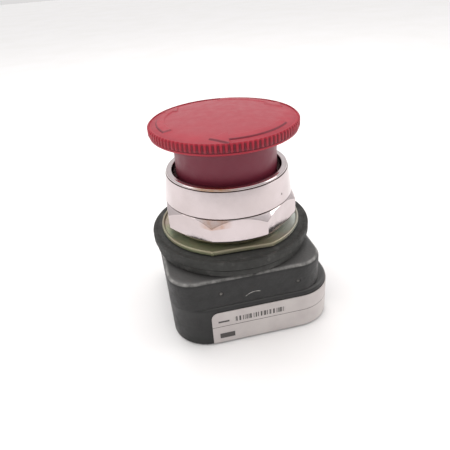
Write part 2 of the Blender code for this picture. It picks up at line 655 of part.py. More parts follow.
def build():
    base_housing()
    rear_cover()
    cover_screws()
    housing_screws()
    contact_insert("contact_insert_front", -1)
    contact_insert("contact_insert_rear", 1)
    guide_pins()
    rating_label()
    operator_body()
    dowel_pins()
    tube("body_seal_ring", 19.3, 18.4, BODY_BOTTOM + 0.05, 14.3, RUBBER, 36)
    for side, word in ((-1, "left"), (1, "right")):
        latch_spring(f"latch_spring_{word}", side)
        latch_plug(f"latch_plug_{word}", side)
        latch_pin(f"latch_pin_{word}", side)
    threaded_bushing()
    flat_disc("spacer_gasket", SPACER_RADIUS, BODY_TOP + GAP, SPACER_TOP, RUBBER)
    flat_disc("panel_gasket", GASKET_RADIUS, SPACER_TOP + GAP, GASKET_TOP, RUBBER)
    trim_washer()
    mounting_ring()
    twist_stop_ring()
    coil("torsion_spring", 8.2, 0.45, 27.6, 31.6, 3.5, STEEL)
    tube("guide_bush", 4.9, SHAFT_RADIUS + 0.08, 32.3, 35.2, BRASS, 24)
    tube("shaft_seal", 7.0, SHAFT_RADIUS + 0.1, BUSHING_TOP + GAP, 37.2, RUBBER, 24)
    tube("spring_seat", 11.6, 7.4, BUSHING_TOP + GAP, 36.4, STEEL, 32)
    coil("return_spring", 9.8, 0.65, 36.8, 56.0, 5.5, STEEL, points=12)
    twist_cam()
    plunger_shaft()
    smooth(rod("cam_cross_pin", 0.95, (-5.2, 0.0, CROSS_PIN_HEIGHT), (5.2, 0.0, CROSS_PIN_HEIGHT),
               STEEL, 12))
    tube("cap_insert", BOSS_BORE - GAP, SHAFT_RADIUS + 0.1, BOSS_BOTTOM + 0.3, 55.3, BRASS, 24)
    mushroom_cap()
    actuator_plate()
    retaining_clip()


build()
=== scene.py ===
import math

import bmesh
import bpy
import numpy as np
from mathutils import Euler, Matrix, Vector


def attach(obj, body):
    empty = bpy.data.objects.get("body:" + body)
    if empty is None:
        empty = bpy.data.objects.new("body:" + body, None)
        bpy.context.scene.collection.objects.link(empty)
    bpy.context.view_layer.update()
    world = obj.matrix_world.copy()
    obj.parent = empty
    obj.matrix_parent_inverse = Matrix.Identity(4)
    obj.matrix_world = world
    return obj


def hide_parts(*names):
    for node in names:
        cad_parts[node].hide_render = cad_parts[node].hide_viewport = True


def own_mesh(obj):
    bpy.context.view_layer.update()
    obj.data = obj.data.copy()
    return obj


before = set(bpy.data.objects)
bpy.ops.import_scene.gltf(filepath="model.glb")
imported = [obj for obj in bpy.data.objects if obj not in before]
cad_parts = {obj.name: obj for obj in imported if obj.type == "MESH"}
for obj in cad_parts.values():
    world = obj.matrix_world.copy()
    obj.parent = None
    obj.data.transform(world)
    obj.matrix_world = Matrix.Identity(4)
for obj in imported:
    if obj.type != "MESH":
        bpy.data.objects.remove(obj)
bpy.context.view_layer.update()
mm = 0.001
scene = bpy.context.scene
print("frame loaded,", len(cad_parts), "solids")


def linear(hexColour):
    parts = [int(hexColour[i:i + 2], 16) / 255 for i in (1, 3, 5)]
    return tuple(p / 12.92 if p <= 0.04045 else ((p + 0.055) / 1.055) ** 2.4 for p in parts) + (1.0,)


def addNode(tree, kind, inputs=None, stops=(), **settings):
    made = tree.nodes.new(kind)
    for name, value in settings.items():
        setattr(made, name, value)
    for name, value in (inputs or {}).items():
        if isinstance(value, bpy.types.NodeSocket):
            tree.links.new(value, made.inputs[name])
        else:
            made.inputs[name].default_value = value
    for i, (place, colour) in enumerate(stops):  # colour ramp stops
        if i >= len(made.color_ramp.elements):
            made.color_ramp.elements.new(place)
        made.color_ramp.elements[i].position = place
        made.color_ramp.elements[i].color = linear(colour)
    return made


def newFinish(name, **shaderInputs):  # comes with the object's own coordinates in millimetres
    finish = bpy.data.materials.new(name)
    finish.use_nodes = True
    tree = finish.node_tree
    shader = tree.nodes["Principled BSDF"]
    for socket, value in shaderInputs.items():
        shader.inputs[socket].default_value = value
    inMetres = addNode(tree, "ShaderNodeTexCoord").outputs["Object"]
    where = addNode(tree, "ShaderNodeVectorMath", {0: inMetres, "Scale": 1 / mm}, operation="SCALE")
    return finish, tree, shader, where.outputs[0]


def grain(tree, where, size, low, high, detail=4.0):  # wanders from low to high in patches of this size
    noise = addNode(tree, "ShaderNodeTexNoise", {"Vector": where, "Scale": 1 / size, "Detail": detail,
                                                 "Roughness": 0.55})
    spread = addNode(tree, "ShaderNodeMapRange", {"Value": noise.outputs["Fac"], "From Min": 0.35,
                                                  "From Max": 0.65, "To Min": low, "To Max": high})
    return spread.outputs["Result"]


def mottled(tree, where, size, stops, detail=4.0):  # the same for a colour
    patches = grain(tree, where, size, 0.0, 1.0, detail)
    return addNode(tree, "ShaderNodeValToRGB", {"Fac": patches}, stops).outputs["Color"]


def spotAt(tree, where, centre, inner, outer):  # 1 within inner mm of a place, 0 beyond outer mm
    gap = addNode(tree, "ShaderNodeVectorMath", {0: where, 1: centre}, operation="DISTANCE").outputs["Value"]
    return addNode(tree, "ShaderNodeMapRange", {"Value": gap, "From Min": outer, "From Max": inner},
                   interpolation_type="SMOOTHSTEP").outputs[0]


def facingUp(tree):
    normal = addNode(tree, "ShaderNodeNewGeometry").outputs["Normal"]
    return addNode(tree, "ShaderNodeSeparateXYZ", {"Vector": normal}).outputs["Z"]


def paintOver(tree, colour, coat, strength, *masks):
    # mixes a coat over a colour through masks: sockets, or (value, where it is 0, where it is 1)
    for mask in masks:
        if isinstance(mask, tuple):
            value, bare, full = mask
            mask = addNode(tree, "ShaderNodeMapRange", {"Value": value, "From Min": bare, "From Max": full},
                           interpolation_type="SMOOTHSTEP").outputs[0]
        strength = addNode(tree, "ShaderNodeMath", {0: strength, 1: mask}, operation="MULTIPLY").outputs[0]
    return addNode(tree, "ShaderNodeMix", {"Factor": strength, "A": colour, "B": linear(coat)},
                   data_type="RGBA").outputs["Result"]


def band(height, low, high, soft):  # two masks that leave only what lies between two heights
    return (height, low - soft, low), (height, high + soft, high)


def dress(tree, shader, colour, roughness, relief, depth):  # depth of the relief in mm
    bump = addNode(tree, "ShaderNodeBump", {"Height": relief, "Distance": depth * mm})
    tree.links.new(colour, shader.inputs["Base Color"])
    tree.links.new(roughness, shader.inputs["Roughness"])
    tree.links.new(bump.outputs["Normal"], shader.inputs["Normal"])


redTones = {"base": ((0.0, "#A31C30"), (1.0, "#AD2235")), "chalkAndSheen": "#9F3944", "arrowEdge": "#64182A",
            "gapShade": "#5A1D2A", "footShade": "#6A1F2E", "neck": "#74293A"}


def makeRedPlastic():
    # moulded nylon, semi-gloss: deep red at the rim, paler over the dome from chalking and a painted sheen,
    # painted shade down the neck, between the teeth, over the teeth's lower half and on the arrows' outer
    # edges
    finish, tree, shader, where = newFinish("mouldedRedNylon", **{"IOR": 1.53, "Specular IOR Level": 0.36})
    part = addNode(tree, "ShaderNodeSeparateXYZ", {"Vector": where}).outputs
    height = part["Z"]
    flat = addNode(tree, "ShaderNodeCombineXYZ", {"X": part["X"], "Y": part["Y"]}).outputs[0]
    reach = addNode(tree, "ShaderNodeVectorMath", {0: flat}, operation="LENGTH").outputs["Value"]
    ray = addNode(tree, "ShaderNodeVectorMath", {0: flat}, operation="NORMALIZE").outputs[0]
    normal = addNode(tree, "ShaderNodeNewGeometry").outputs["Normal"]
    outward = addNode(tree, "ShaderNodeVectorMath", {0: ray, 1: normal},
                      operation="DOT_PRODUCT").outputs["Value"]
    # strength of the painted shade in the teeth: weaker on the left, where more light falls
    sideShadeStrength = addNode(tree, "ShaderNodeMapRange", {"Value": part["X"], "From Min": -19.0, "From Max": -10.0,
                                                   "To Min": 0.25, "To Max": 0.75}).outputs[0]
    teeth = (height, 58.85, 58.5), (height, 56.3, 56.7)
    colour = mottled(tree, where, 6.0, redTones["base"])
    # paler dome: part chalking, part painted sheen on the upward-facing centre
    colour = paintOver(tree, colour, redTones["chalkAndSheen"], 1.0, (reach, 20.2, 13.5), (height, 58.4, 58.9),
                       grain(tree, where, 4.0, 0.82, 1.0))
    # painted shade on the arrows' outward-facing edge walls
    colour = paintOver(tree, colour, redTones["arrowEdge"], 0.8, (outward, 0.12, 0.4), (reach, 20.0, 19.85),
                       (height, 58.7, 58.8))
    # painted shade in the gaps between the teeth
    colour = paintOver(tree, colour, redTones["gapShade"], sideShadeStrength, *teeth, (reach, 20.58, 20.26))
    # painted shade darkening the lower half of the teeth
    colour = paintOver(tree, colour, redTones["footShade"], 0.45, sideShadeStrength, *teeth, (height, 58.2, 57.0))
    # painted shade down the neck under the head
    colour = paintOver(tree, colour, redTones["neck"], 1.0, (height, 56.2, 53.5))
    dress(tree, shader, colour, grain(tree, where, 2.5, 0.38, 0.5), grain(tree, where, 0.6, 0.0, 1.0), 0.012)
    return finish


chromeTones = {"plate": ((0.0, "#C6BBBB"), (1.0, "#D0C5C6")), "lipReflection": "#B88E68", "nutReflection": "#BCA094",
               "hub": "#77746A", "groove": "#5C5048", "pit": "#4A4340"}


def makeChrome():
    # bright chrome over die-cast zinc: mirror with a faint polishing grain, painted shade in its grooves,
    # painted warm reflections on the front of the lip and nut, painted shade on the hub under the nut, and
    # one pit
    finish, tree, shader, where = newFinish("polishedChromePlate", Metallic=1.0)
    height = addNode(tree, "ShaderNodeSeparateXYZ", {"Vector": where}).outputs["Z"]
    patchy = grain(tree, where, 1.6, 0.45, 1.0)
    colour = mottled(tree, where, 8.0, chromeTones["plate"])
    # painted warm reflection on the front of the lip
    colour = paintOver(tree, colour, chromeTones["lipReflection"], 1.0, patchy, *band(height, 45.3, 47.0, 0.15),
                       spotAt(tree, where, (-6.9, -15.9, 45.7), 2.5, 7.5))
    # painted warm reflection on the front of the nut's chamfer
    colour = paintOver(tree, colour, chromeTones["nutReflection"], 1.0, patchy, *band(height, 35.2, 37.45, 0.3),
                       spotAt(tree, where, (-7.6, -17.0, 36.6), 2.6, 5.0))
    # painted shade on the hub under the nut
    colour = paintOver(tree, colour, chromeTones["hub"], 1.0, (height, 30.35, 30.2))
    # painted shade in the two grooves
    for low, high, soft in ((45.02, 45.18, 0.12), (37.35, 37.6, 0.15)):
        colour = paintOver(tree, colour, chromeTones["groove"], 0.75, *band(height, low, high, soft))
    colour = paintOver(tree, colour, chromeTones["pit"], 1.0,
                       spotAt(tree, where, (11.9, -13.7, 40.3), 0.15, 0.4))
    dress(tree, shader, colour, grain(tree, where, 1.5, 0.08, 0.17),
          grain(tree, where, 3.0, 0.0, 1.0, 2.0), 0.01)
    return finish


zincTones = {"patches": ((0.0, "#8F9C86"), (0.35, "#AAAE90"), (0.65, "#AFA88F"), (1.0, "#B5A698")),
             "oliveShade": "#8F9B6E", "paleReflection": "#DCE2DC", "rim": "#948A76"}


def makeYellowZinc():
    # zinc plate with yellow chromate: straw, green and pink patches over a dull metal, painted olive shade at
    # the front, a painted pale reflection on the right, and brown along the rim
    finish, tree, shader, where = newFinish("yellowChromateZinc", Metallic=0.55)
    height = addNode(tree, "ShaderNodeSeparateXYZ", {"Vector": where}).outputs["Z"]
    colour = mottled(tree, where, 7.0, zincTones["patches"], 3.0)
    # painted shade on the front of the floor under the nut
    colour = paintOver(tree, colour, zincTones["oliveShade"], 0.5,
                       spotAt(tree, where, (-8.0, -18.0, 28.0), 5.0, 20.0))
    # painted pale reflection on the right of the floor
    colour = paintOver(tree, colour, zincTones["paleReflection"], 0.85,
                       spotAt(tree, where, (19.0, -4.0, 28.0), 4.0, 19.0))
    colour = paintOver(tree, colour, zincTones["rim"], 0.65, (height, 28.2, 28.6))
    dress(tree, shader, colour, grain(tree, where, 1.2, 0.3, 0.5), grain(tree, where, 0.8, 0.0, 1.0), 0.01)
    return finish


def makeRubber(name, dark, pale, dustSize):
    # moulded nitrile rubber: matt black with a thin bloom of dust
    finish, tree, shader, where = newFinish(name, **{"IOR": 1.52, "Specular IOR Level": 0.35})
    colour = mottled(tree, where, dustSize, ((0.0, dark), (0.7, dark), (1.0, pale)))
    dress(tree, shader, colour, grain(tree, where, 1.5, 0.6, 0.85), grain(tree, where, 0.5, 0.0, 1.0), 0.02)
    return finish


# dust here is dust together with a painted sheen on up-facing faces
enamelTones = {"paint": ((0.0, "#1A1A1A"), (1.0, "#222222")), "dust": "#787674", "rubbedAndHighlight": "#93918E",
               "scratchAndGlint": "#BDB9B4"}


def makePaintedCasting():
    # satin black enamel over die-cast zinc: even and slightly pebbled, with dust and a painted sheen where it
    # faces up, rubbed grey paint and a painted highlight along its upper edge, and one curved scratch in the
    # front, painted as bright as a glint
    finish, tree, shader, where = newFinish("satinBlackEnamel", **{"IOR": 1.5, "Specular IOR Level": 0.45})
    up = facingUp(tree)
    height = addNode(tree, "ShaderNodeSeparateXYZ", {"Vector": where}).outputs["Z"]
    colour = mottled(tree, where, 5.0, enamelTones["paint"])
    # dust and painted sheen on faces that look up
    colour = paintOver(tree, colour, enamelTones["dust"], 0.4, (up, 0.3, 1.0))
    # rubbed paint and a painted highlight along the upper edge
    colour = paintOver(tree, colour, enamelTones["rubbedAndHighlight"], 1.0, (up, 0.35, 0.6), (up, 0.98, 0.8),
                       (height, 20.5, 21.0), grain(tree, where, 2.2, 0.15, 0.95))
    # a painted highlight drawn as a curved scratch: part wear, part glint
    centre = (1.2, -22.3, 11.9)  # the scratch is an arc about this point, cut short by a spot over its top
    arc = addNode(tree, "ShaderNodeMath", {0: spotAt(tree, where, centre, 4.22, 4.38),
                                           1: spotAt(tree, where, centre, 4.02, 4.18)}, operation="SUBTRACT")
    colour = paintOver(tree, colour, enamelTones["scratchAndGlint"], 1.0, arc.outputs[0],
                       spotAt(tree, where, (0.4, -22.3, 16.0), 1.9, 2.5), grain(tree, where, 0.7, 0.3, 1.0))
    dress(tree, shader, colour, grain(tree, where, 2.0, 0.4, 0.55), grain(tree, where, 0.7, 0.0, 1.0), 0.03)
    return finish


def makePhenolic():
    # moulded phenolic: hard black with a low satin shine, faint flow marks, dusty where it faces up
    finish, tree, shader, where = newFinish("mouldedBlackPhenolic",
                                            **{"IOR": 1.55, "Specular IOR Level": 0.4})
    colour = mottled(tree, where, 9.0, ((0.0, "#181818"), (1.0, "#202020")))
    colour = paintOver(tree, colour, "#787674", 0.25, (facingUp(tree), 0.3, 0.9))
    dress(tree, shader, colour, grain(tree, where, 3.0, 0.4, 0.55), grain(tree, where, 1.0, 0.0, 1.0), 0.015)
    return finish


labelPrint = {"film": ((0.0, "#BDB5B3"), (1.0, "#C7C0BD")), "ink": "#4A4644", "barsPerMm": 1.9,
              "rule": (-1.0, 60.0, 5.76, 5.94), "caption": (1.8, 5.0, 7.3, 7.9),  # left, right, low and high
              "code": (6.4, 21.6, 6.9, 8.6), "block": (2.0, 6.4, 1.5, 3.3)}


def makeLabelFoil():
    # satin polyester label: pale silver-white print, a thin rule, and plain bars instead of words
    finish, tree, shader, where = newFinish("satinLabelFilm", IOR=1.48)
    spot = addNode(tree, "ShaderNodeSeparateXYZ", {"Vector": addNode(tree, "ShaderNodeUVMap").outputs["UV"]})
    along, up = spot.outputs["X"], spot.outputs["Y"]
    stripes = addNode(tree, "ShaderNodeTexNoise", {"W": along, "Scale": labelPrint["barsPerMm"],
                                                   "Detail": 3.0}, noise_dimensions="1D")
    bars = addNode(tree, "ShaderNodeMath", {0: stripes.outputs["Fac"], 1: 0.5}, operation="GREATER_THAN")
    colour = mottled(tree, where, 6.0, labelPrint["film"])
    for mark in ("rule", "caption", "code", "block"):
        left, right, low, high = labelPrint[mark]
        masks = [bars.outputs[0]] if mark == "code" else []
        for value, start, end in ((along, left, right), (up, low, high)):
            within = addNode(tree, "ShaderNodeMath", {0: value, 1: (start + end) / 2, 2: (end - start) / 2},
                             operation="COMPARE")
            masks.append(within.outputs[0])
        colour = paintOver(tree, colour, labelPrint["ink"], 1.0, *masks)
    dress(tree, shader, colour, grain(tree, where, 4.0, 0.36, 0.5), grain(tree, where, 5.0, 0.0, 1.0), 0.01)
    return finish


def makeMetal(name, dark, pale, size, smoothest, roughest, pitch):
    # bare metal: colour and shine vary a little, with fine lines left by the tool that made it
    finish, tree, shader, where = newFinish(name, Metallic=1.0)
    colour = mottled(tree, where, size, ((0.0, dark), (1.0, pale)))
    lines = addNode(tree, "ShaderNodeTexWave", {"Vector": where, "Scale": 1 / (20 * pitch),
                                                "Distortion": 1.5}, bands_direction="Z")
    dress(tree, shader, colour, grain(tree, where, size / 3, smoothest, roughest),
          lines.outputs["Fac"], 0.006)
    return finish


def makeAcetal():
    # natural acetal: waxy off-white, light enters a little
    finish, tree, shader, where = newFinish("naturalAcetal", **{"IOR": 1.48, "Subsurface Weight": 0.08,
                                                               "Subsurface Scale": 0.001})
    colour = mottled(tree, where, 5.0, ((0.0, "#DDDAD0"), (1.0, "#E8E6DD")))
    dress(tree, shader, colour, grain(tree, where, 2.0, 0.35, 0.5), grain(tree, where, 1.0, 0.0, 1.0), 0.01)
    return finish


finishes = {
    "red": makeRedPlastic(),
    "chrome": makeChrome(),
    "yellowZinc": makeYellowZinc(),
    "gasket": makeRubber("nitrileGasketRubber", "#363634", "#494846", 3.0),
    "seal": makeRubber("nitrileSealRubber", "#151515", "#242424", 5.0),
    "enamel": makePaintedCasting(),
    "phenolic": makePhenolic(),
    "label": makeLabelFoil(),
    "dieCast": makeMetal("tumbledDieCastZinc", "#8C8C8F", "#A3A3A6", 3.0, 0.3, 0.5, 0.6),
    "steel": makeMetal("turnedSteel", "#A9A8A6", "#C4C3C1", 3.0, 0.2, 0.35, 0.15),
    "dullSteel": makeMetal("oxidisedSteelPin", "#4A4947", "#7D7B78", 0.5, 0.4, 0.6, 0.15),
    "wire": makeMetal("drawnSpringWire", "#8E8D8C", "#A8A7A6", 2.0, 0.25, 0.4, 0.1),
    "brass": makeMetal("turnedBrass", "#C2A060", "#D3B478", 3.0, 0.2, 0.35, 0.15),
    "acetal": makeAcetal(),
}
print("finishes made:", len(finishes))


def keep(name, mesh, finish=None):
    piece = bpy.data.objects.new(name, mesh)
    scene.collection.objects.link(piece)
    if finish:
        mesh.materials.clear()
        mesh.materials.append(finish)
    return piece


def stored(name, form):
    mesh = bpy.data.meshes.new(name)
    form.to_mesh(mesh)
    form.free()
    return mesh


def settle(piece):  # turns modifiers and placement into plain mesh
    bpy.context.view_layer.update()
    ready = piece.evaluated_get(bpy.context.evaluated_depsgraph_get())
    mesh = bpy.data.meshes.new_from_object(ready)
    mesh.transform(piece.matrix_world)
    piece.modifiers.clear()
    piece.data = mesh
    piece.matrix_world = Matrix.Identity(4)
    return piece


def smooth(piece, degrees=35.0):
    piece.data.shade_smooth()
    piece.data.set_sharp_from_angle(angle=math.radians(degrees))
    return piece


def softened(corners, steps=4, closed=True):  # (x, y, radius) corners become short arcs
    path = []
    for i, corner in enumerate(corners):
        here, radius = np.array(corner[:2], float), (corner[2] if len(corner) > 2 else 0.0)
        if not radius or (not closed and i in (0, len(corners) - 1)):
            path.append(here)
            continue
        back = np.array(corners[i - 1][:2], float) - here
        ahead = np.array(corners[(i + 1) % len(corners)][:2], float) - here
        back, ahead = back / np.linalg.norm(back), ahead / np.linalg.norm(ahead)
        half = math.acos(float(np.clip(back @ ahead, -1, 1))) / 2
        middle = here + (back + ahead) / np.linalg.norm(back + ahead) * radius / math.sin(half)
        first = here + back * radius / math.tan(half) - middle
        last = here + ahead * radius / math.tan(half) - middle
        sweep = math.atan2(first[0] * last[1] - first[1] * last[0], float(first @ last))
        for k in range(steps + 1):
            c, s = math.cos(sweep * k / steps), math.sin(sweep * k / steps)
            path.append(middle + np.array((c * first[0] - s * first[1], s * first[0] + c * first[1])))
    return np.array(path)


def skin(name, rows, finish, closedRows=True, topCap=False, bottomCap=False):
    # rows is an array of (row, column, xyz); rows run down the outside, columns run round it
    rows = np.asarray(rows, float)
    count, around = rows.shape[:2]
    verts = rows.reshape(-1, 3) * mm
    faces = []
    for i in range(count if closedRows else count - 1):
        a, b = i * around, (i + 1) % count * around
        for k in range(around):
            n = (k + 1) % around
            faces.append((a + k, b + k, b + n, a + n))
    if topCap:
        faces.append(tuple(range(around)))
    if bottomCap:
        faces.append(tuple(reversed(range((count - 1) * around, count * around))))
    mesh = bpy.data.meshes.new(name)
    mesh.from_pydata(verts.tolist(), [], faces)
    form = bmesh.new()
    form.from_mesh(mesh)
    bmesh.ops.remove_doubles(form, verts=form.verts, dist=1e-7)  # closes the poles
    form.to_mesh(mesh)
    form.free()
    return smooth(keep(name, mesh, finish))


def turned(name, profile, finish, segments=160, shape=None):
    # profile is (radius, height) running down the outside; shape may move (r, z, angle)
    profile = np.asarray(profile, float)
    angles = np.linspace(0, math.tau, segments, endpoint=False)
    r, a = np.meshgrid(profile[:, 0], angles, indexing="ij")
    z = np.meshgrid(profile[:, 1], angles, indexing="ij")[0]
    if shape:
        r, z = shape(r, z, a)
    rows = np.stack((r * np.cos(a), r * np.sin(a), z), axis=2)
    onAxis = profile[0, 0] == 0 and profile[-1, 0] == 0
    return skin(name, rows, finish, closedRows=not onAxis)


def roundedSweep(name, width, depth, corner, centreX, profile, finish, steps=14):
    # profile is (inset, height) from top to bottom, carried round a rounded rectangle
    rows = []
    for inset, z in profile:
        radius = max(corner - inset, 0.25)
        halfX, halfY = width / 2 - inset - radius, depth / 2 - inset - radius
        row = []
        for quarter, (sx, sy) in enumerate(((1, 1), (-1, 1), (-1, -1), (1, -1))):
            start = quarter * math.pi / 2
            turns = [start + math.pi / 2 * k / steps for k in range(steps + 1)]
            middle = np.array((centreX + sx * halfX, sy * halfY))
            ends = [middle + radius * np.array((math.cos(t), math.sin(t))) for t in turns]
            lead = np.array((math.sin(start), -math.cos(start))) * 0.6  # keeps the flats flat
            trail = np.array((-math.sin(turns[-1]), math.cos(turns[-1]))) * 0.6
            row += [ends[0] + lead] + ends + [ends[-1] + trail]
        rows.append([(x, y, z) for x, y in row])
    return skin(name, rows, finish, closedRows=False, topCap=True, bottomCap=True)


def rod(name, radius, start, end, segments=48, farRadius=None):
    start, end = Vector(start), Vector(end)
    form = bmesh.new()
    bmesh.ops.create_cone(form, cap_ends=True, segments=segments, radius1=radius * mm,
                          radius2=(radius if farRadius is None else farRadius) * mm,
                          depth=(end - start).length * mm)
    turn = (end - start).to_track_quat("Z", "Y").to_matrix().to_4x4()
    bmesh.ops.transform(form, matrix=Matrix.Translation((start + end) / 2 * mm) @ turn, verts=form.verts)
    return keep(name, stored(name, form))


def cutAway(piece, *tools):
    for part in (piece, *tools):  # cut at a thousand times size, where small edges stay exact
        part.data.transform(Matrix.Scale(1 / mm, 4))
    for tool in tools:
        step = piece.modifiers.new("cut", "BOOLEAN")
        step.operation, step.solver, step.object = "DIFFERENCE", "EXACT", tool
    settle(piece)
    for tool in tools:
        bpy.data.objects.remove(tool)
    form = bmesh.new()
    form.from_mesh(piece.data)
    bmesh.ops.remove_doubles(form, verts=form.verts, dist=1e-4)
    bmesh.ops.dissolve_degenerate(form, edges=form.edges, dist=1e-4)
    form.to_mesh(piece.data)
    form.free()
    piece.data.transform(Matrix.Scale(mm, 4))
    return piece


def install(piece, rider, slotName, *nodes):  # rider is the moving body that carries it
    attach(piece, rider)
    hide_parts(*nodes)
    return piece


def startTree(name, sizes):
    tree = bpy.data.node_groups.new(name, "GeometryNodeTree")
    tree.interface.new_socket("Geometry", in_out="INPUT", socket_type="NodeSocketGeometry")
    for label, value in sizes.items():
        tree.interface.new_socket(label, in_out="INPUT", socket_type="NodeSocketFloat").default_value = value
    tree.interface.new_socket("Geometry", in_out="OUTPUT", socket_type="NodeSocketGeometry")
    return tree, tree.nodes.new("NodeGroupInput").outputs


def endTree(tree, geometry, finish):
    real = addNode(tree, "GeometryNodeRealizeInstances", {"Geometry": geometry})
    painted = addNode(tree, "GeometryNodeSetMaterial", {"Geometry": real.outputs[0], "Material": finish})
    addNode(tree, "NodeGroupOutput", {"Geometry": painted.outputs[0]})
    return tree


def grow(piece, tree, sizes):  # runs a tree on a piece and keeps the result as its mesh
    step = piece.modifiers.new(tree.name, "NODES")
    step.node_group = tree
    for socket in tree.interface.items_tree:
        if socket.in_out == "INPUT" and socket.name in sizes:
            step[socket.identifier] = float(sizes[socket.name])
    return settle(piece)


def pointsPiece(name, points):
    mesh = bpy.data.meshes.new(name)
    mesh.from_pydata([tuple(c * mm for c in p) for p in points], [], [])
    return keep(name, mesh)


def frontAngle(degrees):  # measured from the labelled front, towards the right
    return math.radians(degrees - 90.0)


head = {
    "domeTop": 60.4, "crownDrop": 0.75, "crownReach": 15.0, "edgeDrop": 0.25, "edgeReach": 20.0,
    "topEdge": 19.7, "rimRadius": 20.2, "crest": 0.44, "teeth": 100, "knurlTop": 58.9, "knurlBottom": 56.55,
    "underside": 55.9, "skirt": 14.4, "skirtBore": 12.6, "skirtBottom": 42.0, "ceiling": 56.3,
    "bossRadius": 7.0, "bossBore": 5.5, "bossBottom": 46.5, "boreTop": 55.8, "segments": 600,
    "arrowRaise": 0.3, "arrowEdge": 0.2,  # the arrows, in mm, then their outline in degrees and radii
    "tail": 50.0, "barb": -8.0, "tip": -24.0, "outer": 18.2, "inner": 15.9, "barbOuter": 20.0,
    "barbInner": 14.2, "tipRadius": 17.6,
}


def arrowDistance(x, y):  # signed distance to one arrow's outline, positive inside
    def at(radius, degrees):
        turn = frontAngle(degrees)
        return radius * math.cos(turn), radius * math.sin(turn)

    span = [i / 30 for i in range(31)]
    outline = [at(head["outer"], head["tail"] + (head["barb"] - head["tail"]) * t) for t in span]
    outline += [at(head["barbOuter"], head["barb"]), at(head["tipRadius"], head["tip"]),
                at(head["barbInner"], head["barb"])]
    outline += [at(head["inner"], head["barb"] + (head["tail"] + 3.0 - head["barb"]) * t) for t in span]
    nearest, inside = np.full(x.shape, 1e9), np.zeros(x.shape, bool)
    for (x0, y0), (x1, y1) in zip(outline, outline[1:] + outline[:1]):
        dx, dy = x1 - x0, y1 - y0
        t = np.clip(((x - x0) * dx + (y - y0) * dy) / (dx * dx + dy * dy), 0, 1)
        nearest = np.minimum(nearest, np.hypot(x - x0 - t * dx, y - y0 - t * dy))
        if dy:
            inside ^= ((y0 > y) != (y1 > y)) & (x < dx * (y - y0) / dy + x0)
    return np.where(inside, nearest, -nearest)


def raiseArrows(r, z, a):
    rise = np.zeros(r.shape)
    top = (r > head["barbInner"] - 1.2) & (r < head["rimRadius"] - 0.05) & (z > head["knurlTop"] - 0.3)
    for third in range(3):
        turn = a[top] + third * math.tau / 3
        depth = arrowDistance(r[top] * np.cos(turn), r[top] * np.sin(turn))
        t = np.clip(depth / head["arrowEdge"] + 0.5, 0, 1)
        rise[top] = np.maximum(rise[top], t * t * (3 - 2 * t) * head["arrowRaise"])
    return r, z + rise


def domeHeight(r):  # a low crown that falls away faster near the edge
    crown = head["crownDrop"] * (r / head["crownReach"]) ** 2.2
    return head["domeTop"] - crown - head["edgeDrop"] * (r / head["edgeReach"]) ** 8


def knurlTree():
    # moulded teeth round a rim: pushes the band out and in with the angle
    tree, sizes = startTree("rimKnurl", {"teeth": 100.0, "depth": 0.0004, "low": 0.056, "high": 0.058,
                                         "fade": 0.0004, "topFade": 0.0002, "innerRadius": 0.0195})
    place = addNode(tree, "GeometryNodeInputPosition").outputs[0]
    part = addNode(tree, "ShaderNodeSeparateXYZ", {0: place}).outputs
    angle = addNode(tree, "ShaderNodeMath", {0: part["Y"], 1: part["X"]}, operation="ARCTAN2").outputs[0]
    phase = addNode(tree, "ShaderNodeMath", {0: angle, 1: sizes["teeth"]}, operation="MULTIPLY").outputs[0]
    wave = addNode(tree, "ShaderNodeMath", {0: phase}, operation="COSINE").outputs[0]
    crest = addNode(tree, "ShaderNodeMapRange", {"Value": wave, "From Min": -0.75, "From Max": 0.55},
                    interpolation_type="SMOOTHSTEP").outputs[0]
    lowEnd = addNode(tree, "ShaderNodeMath", {0: sizes["low"], 1: sizes["fade"]}, operation="ADD").outputs[0]
    highEnd = addNode(tree, "ShaderNodeMath", {0: sizes["high"], 1: sizes["topFade"]},
                      operation="SUBTRACT").outputs[0]
    rise = addNode(tree, "ShaderNodeMapRange", {"Value": part["Z"], "From Min": sizes["low"],
                                                "From Max": lowEnd}, interpolation_type="SMOOTHSTEP")
    fall = addNode(tree, "ShaderNodeMapRange", {"Value": part["Z"], "From Min": highEnd,
                                                "From Max": sizes["high"], "To Min": 1.0, "To Max": 0.0},
                   interpolation_type="SMOOTHSTEP")
    flat = addNode(tree, "ShaderNodeCombineXYZ", {"X": part["X"], "Y": part["Y"]}).outputs[0]
    radius = addNode(tree, "ShaderNodeVectorMath", {0: flat}, operation="LENGTH").outputs["Value"]
    outside = addNode(tree, "ShaderNodeMath", {0: radius, 1: sizes["innerRadius"]},
                      operation="GREATER_THAN").outputs[0]
    push = crest
    for factor in (rise.outputs[0], fall.outputs[0], outside, sizes["depth"]):
        push = addNode(tree, "ShaderNodeMath", {0: push, 1: factor}, operation="MULTIPLY").outputs[0]
    out = addNode(tree, "ShaderNodeVectorMath", {0: flat}, operation="NORMALIZE").outputs[0]
    offset = addNode(tree, "ShaderNodeVectorMath", {0: out, "Scale": push}, operation="SCALE").outputs[0]
    moved = addNode(tree, "GeometryNodeSetPosition", {"Geometry": sizes["Geometry"], "Offset": offset})
    return endTree(tree, moved.outputs[0], finishes["red"])


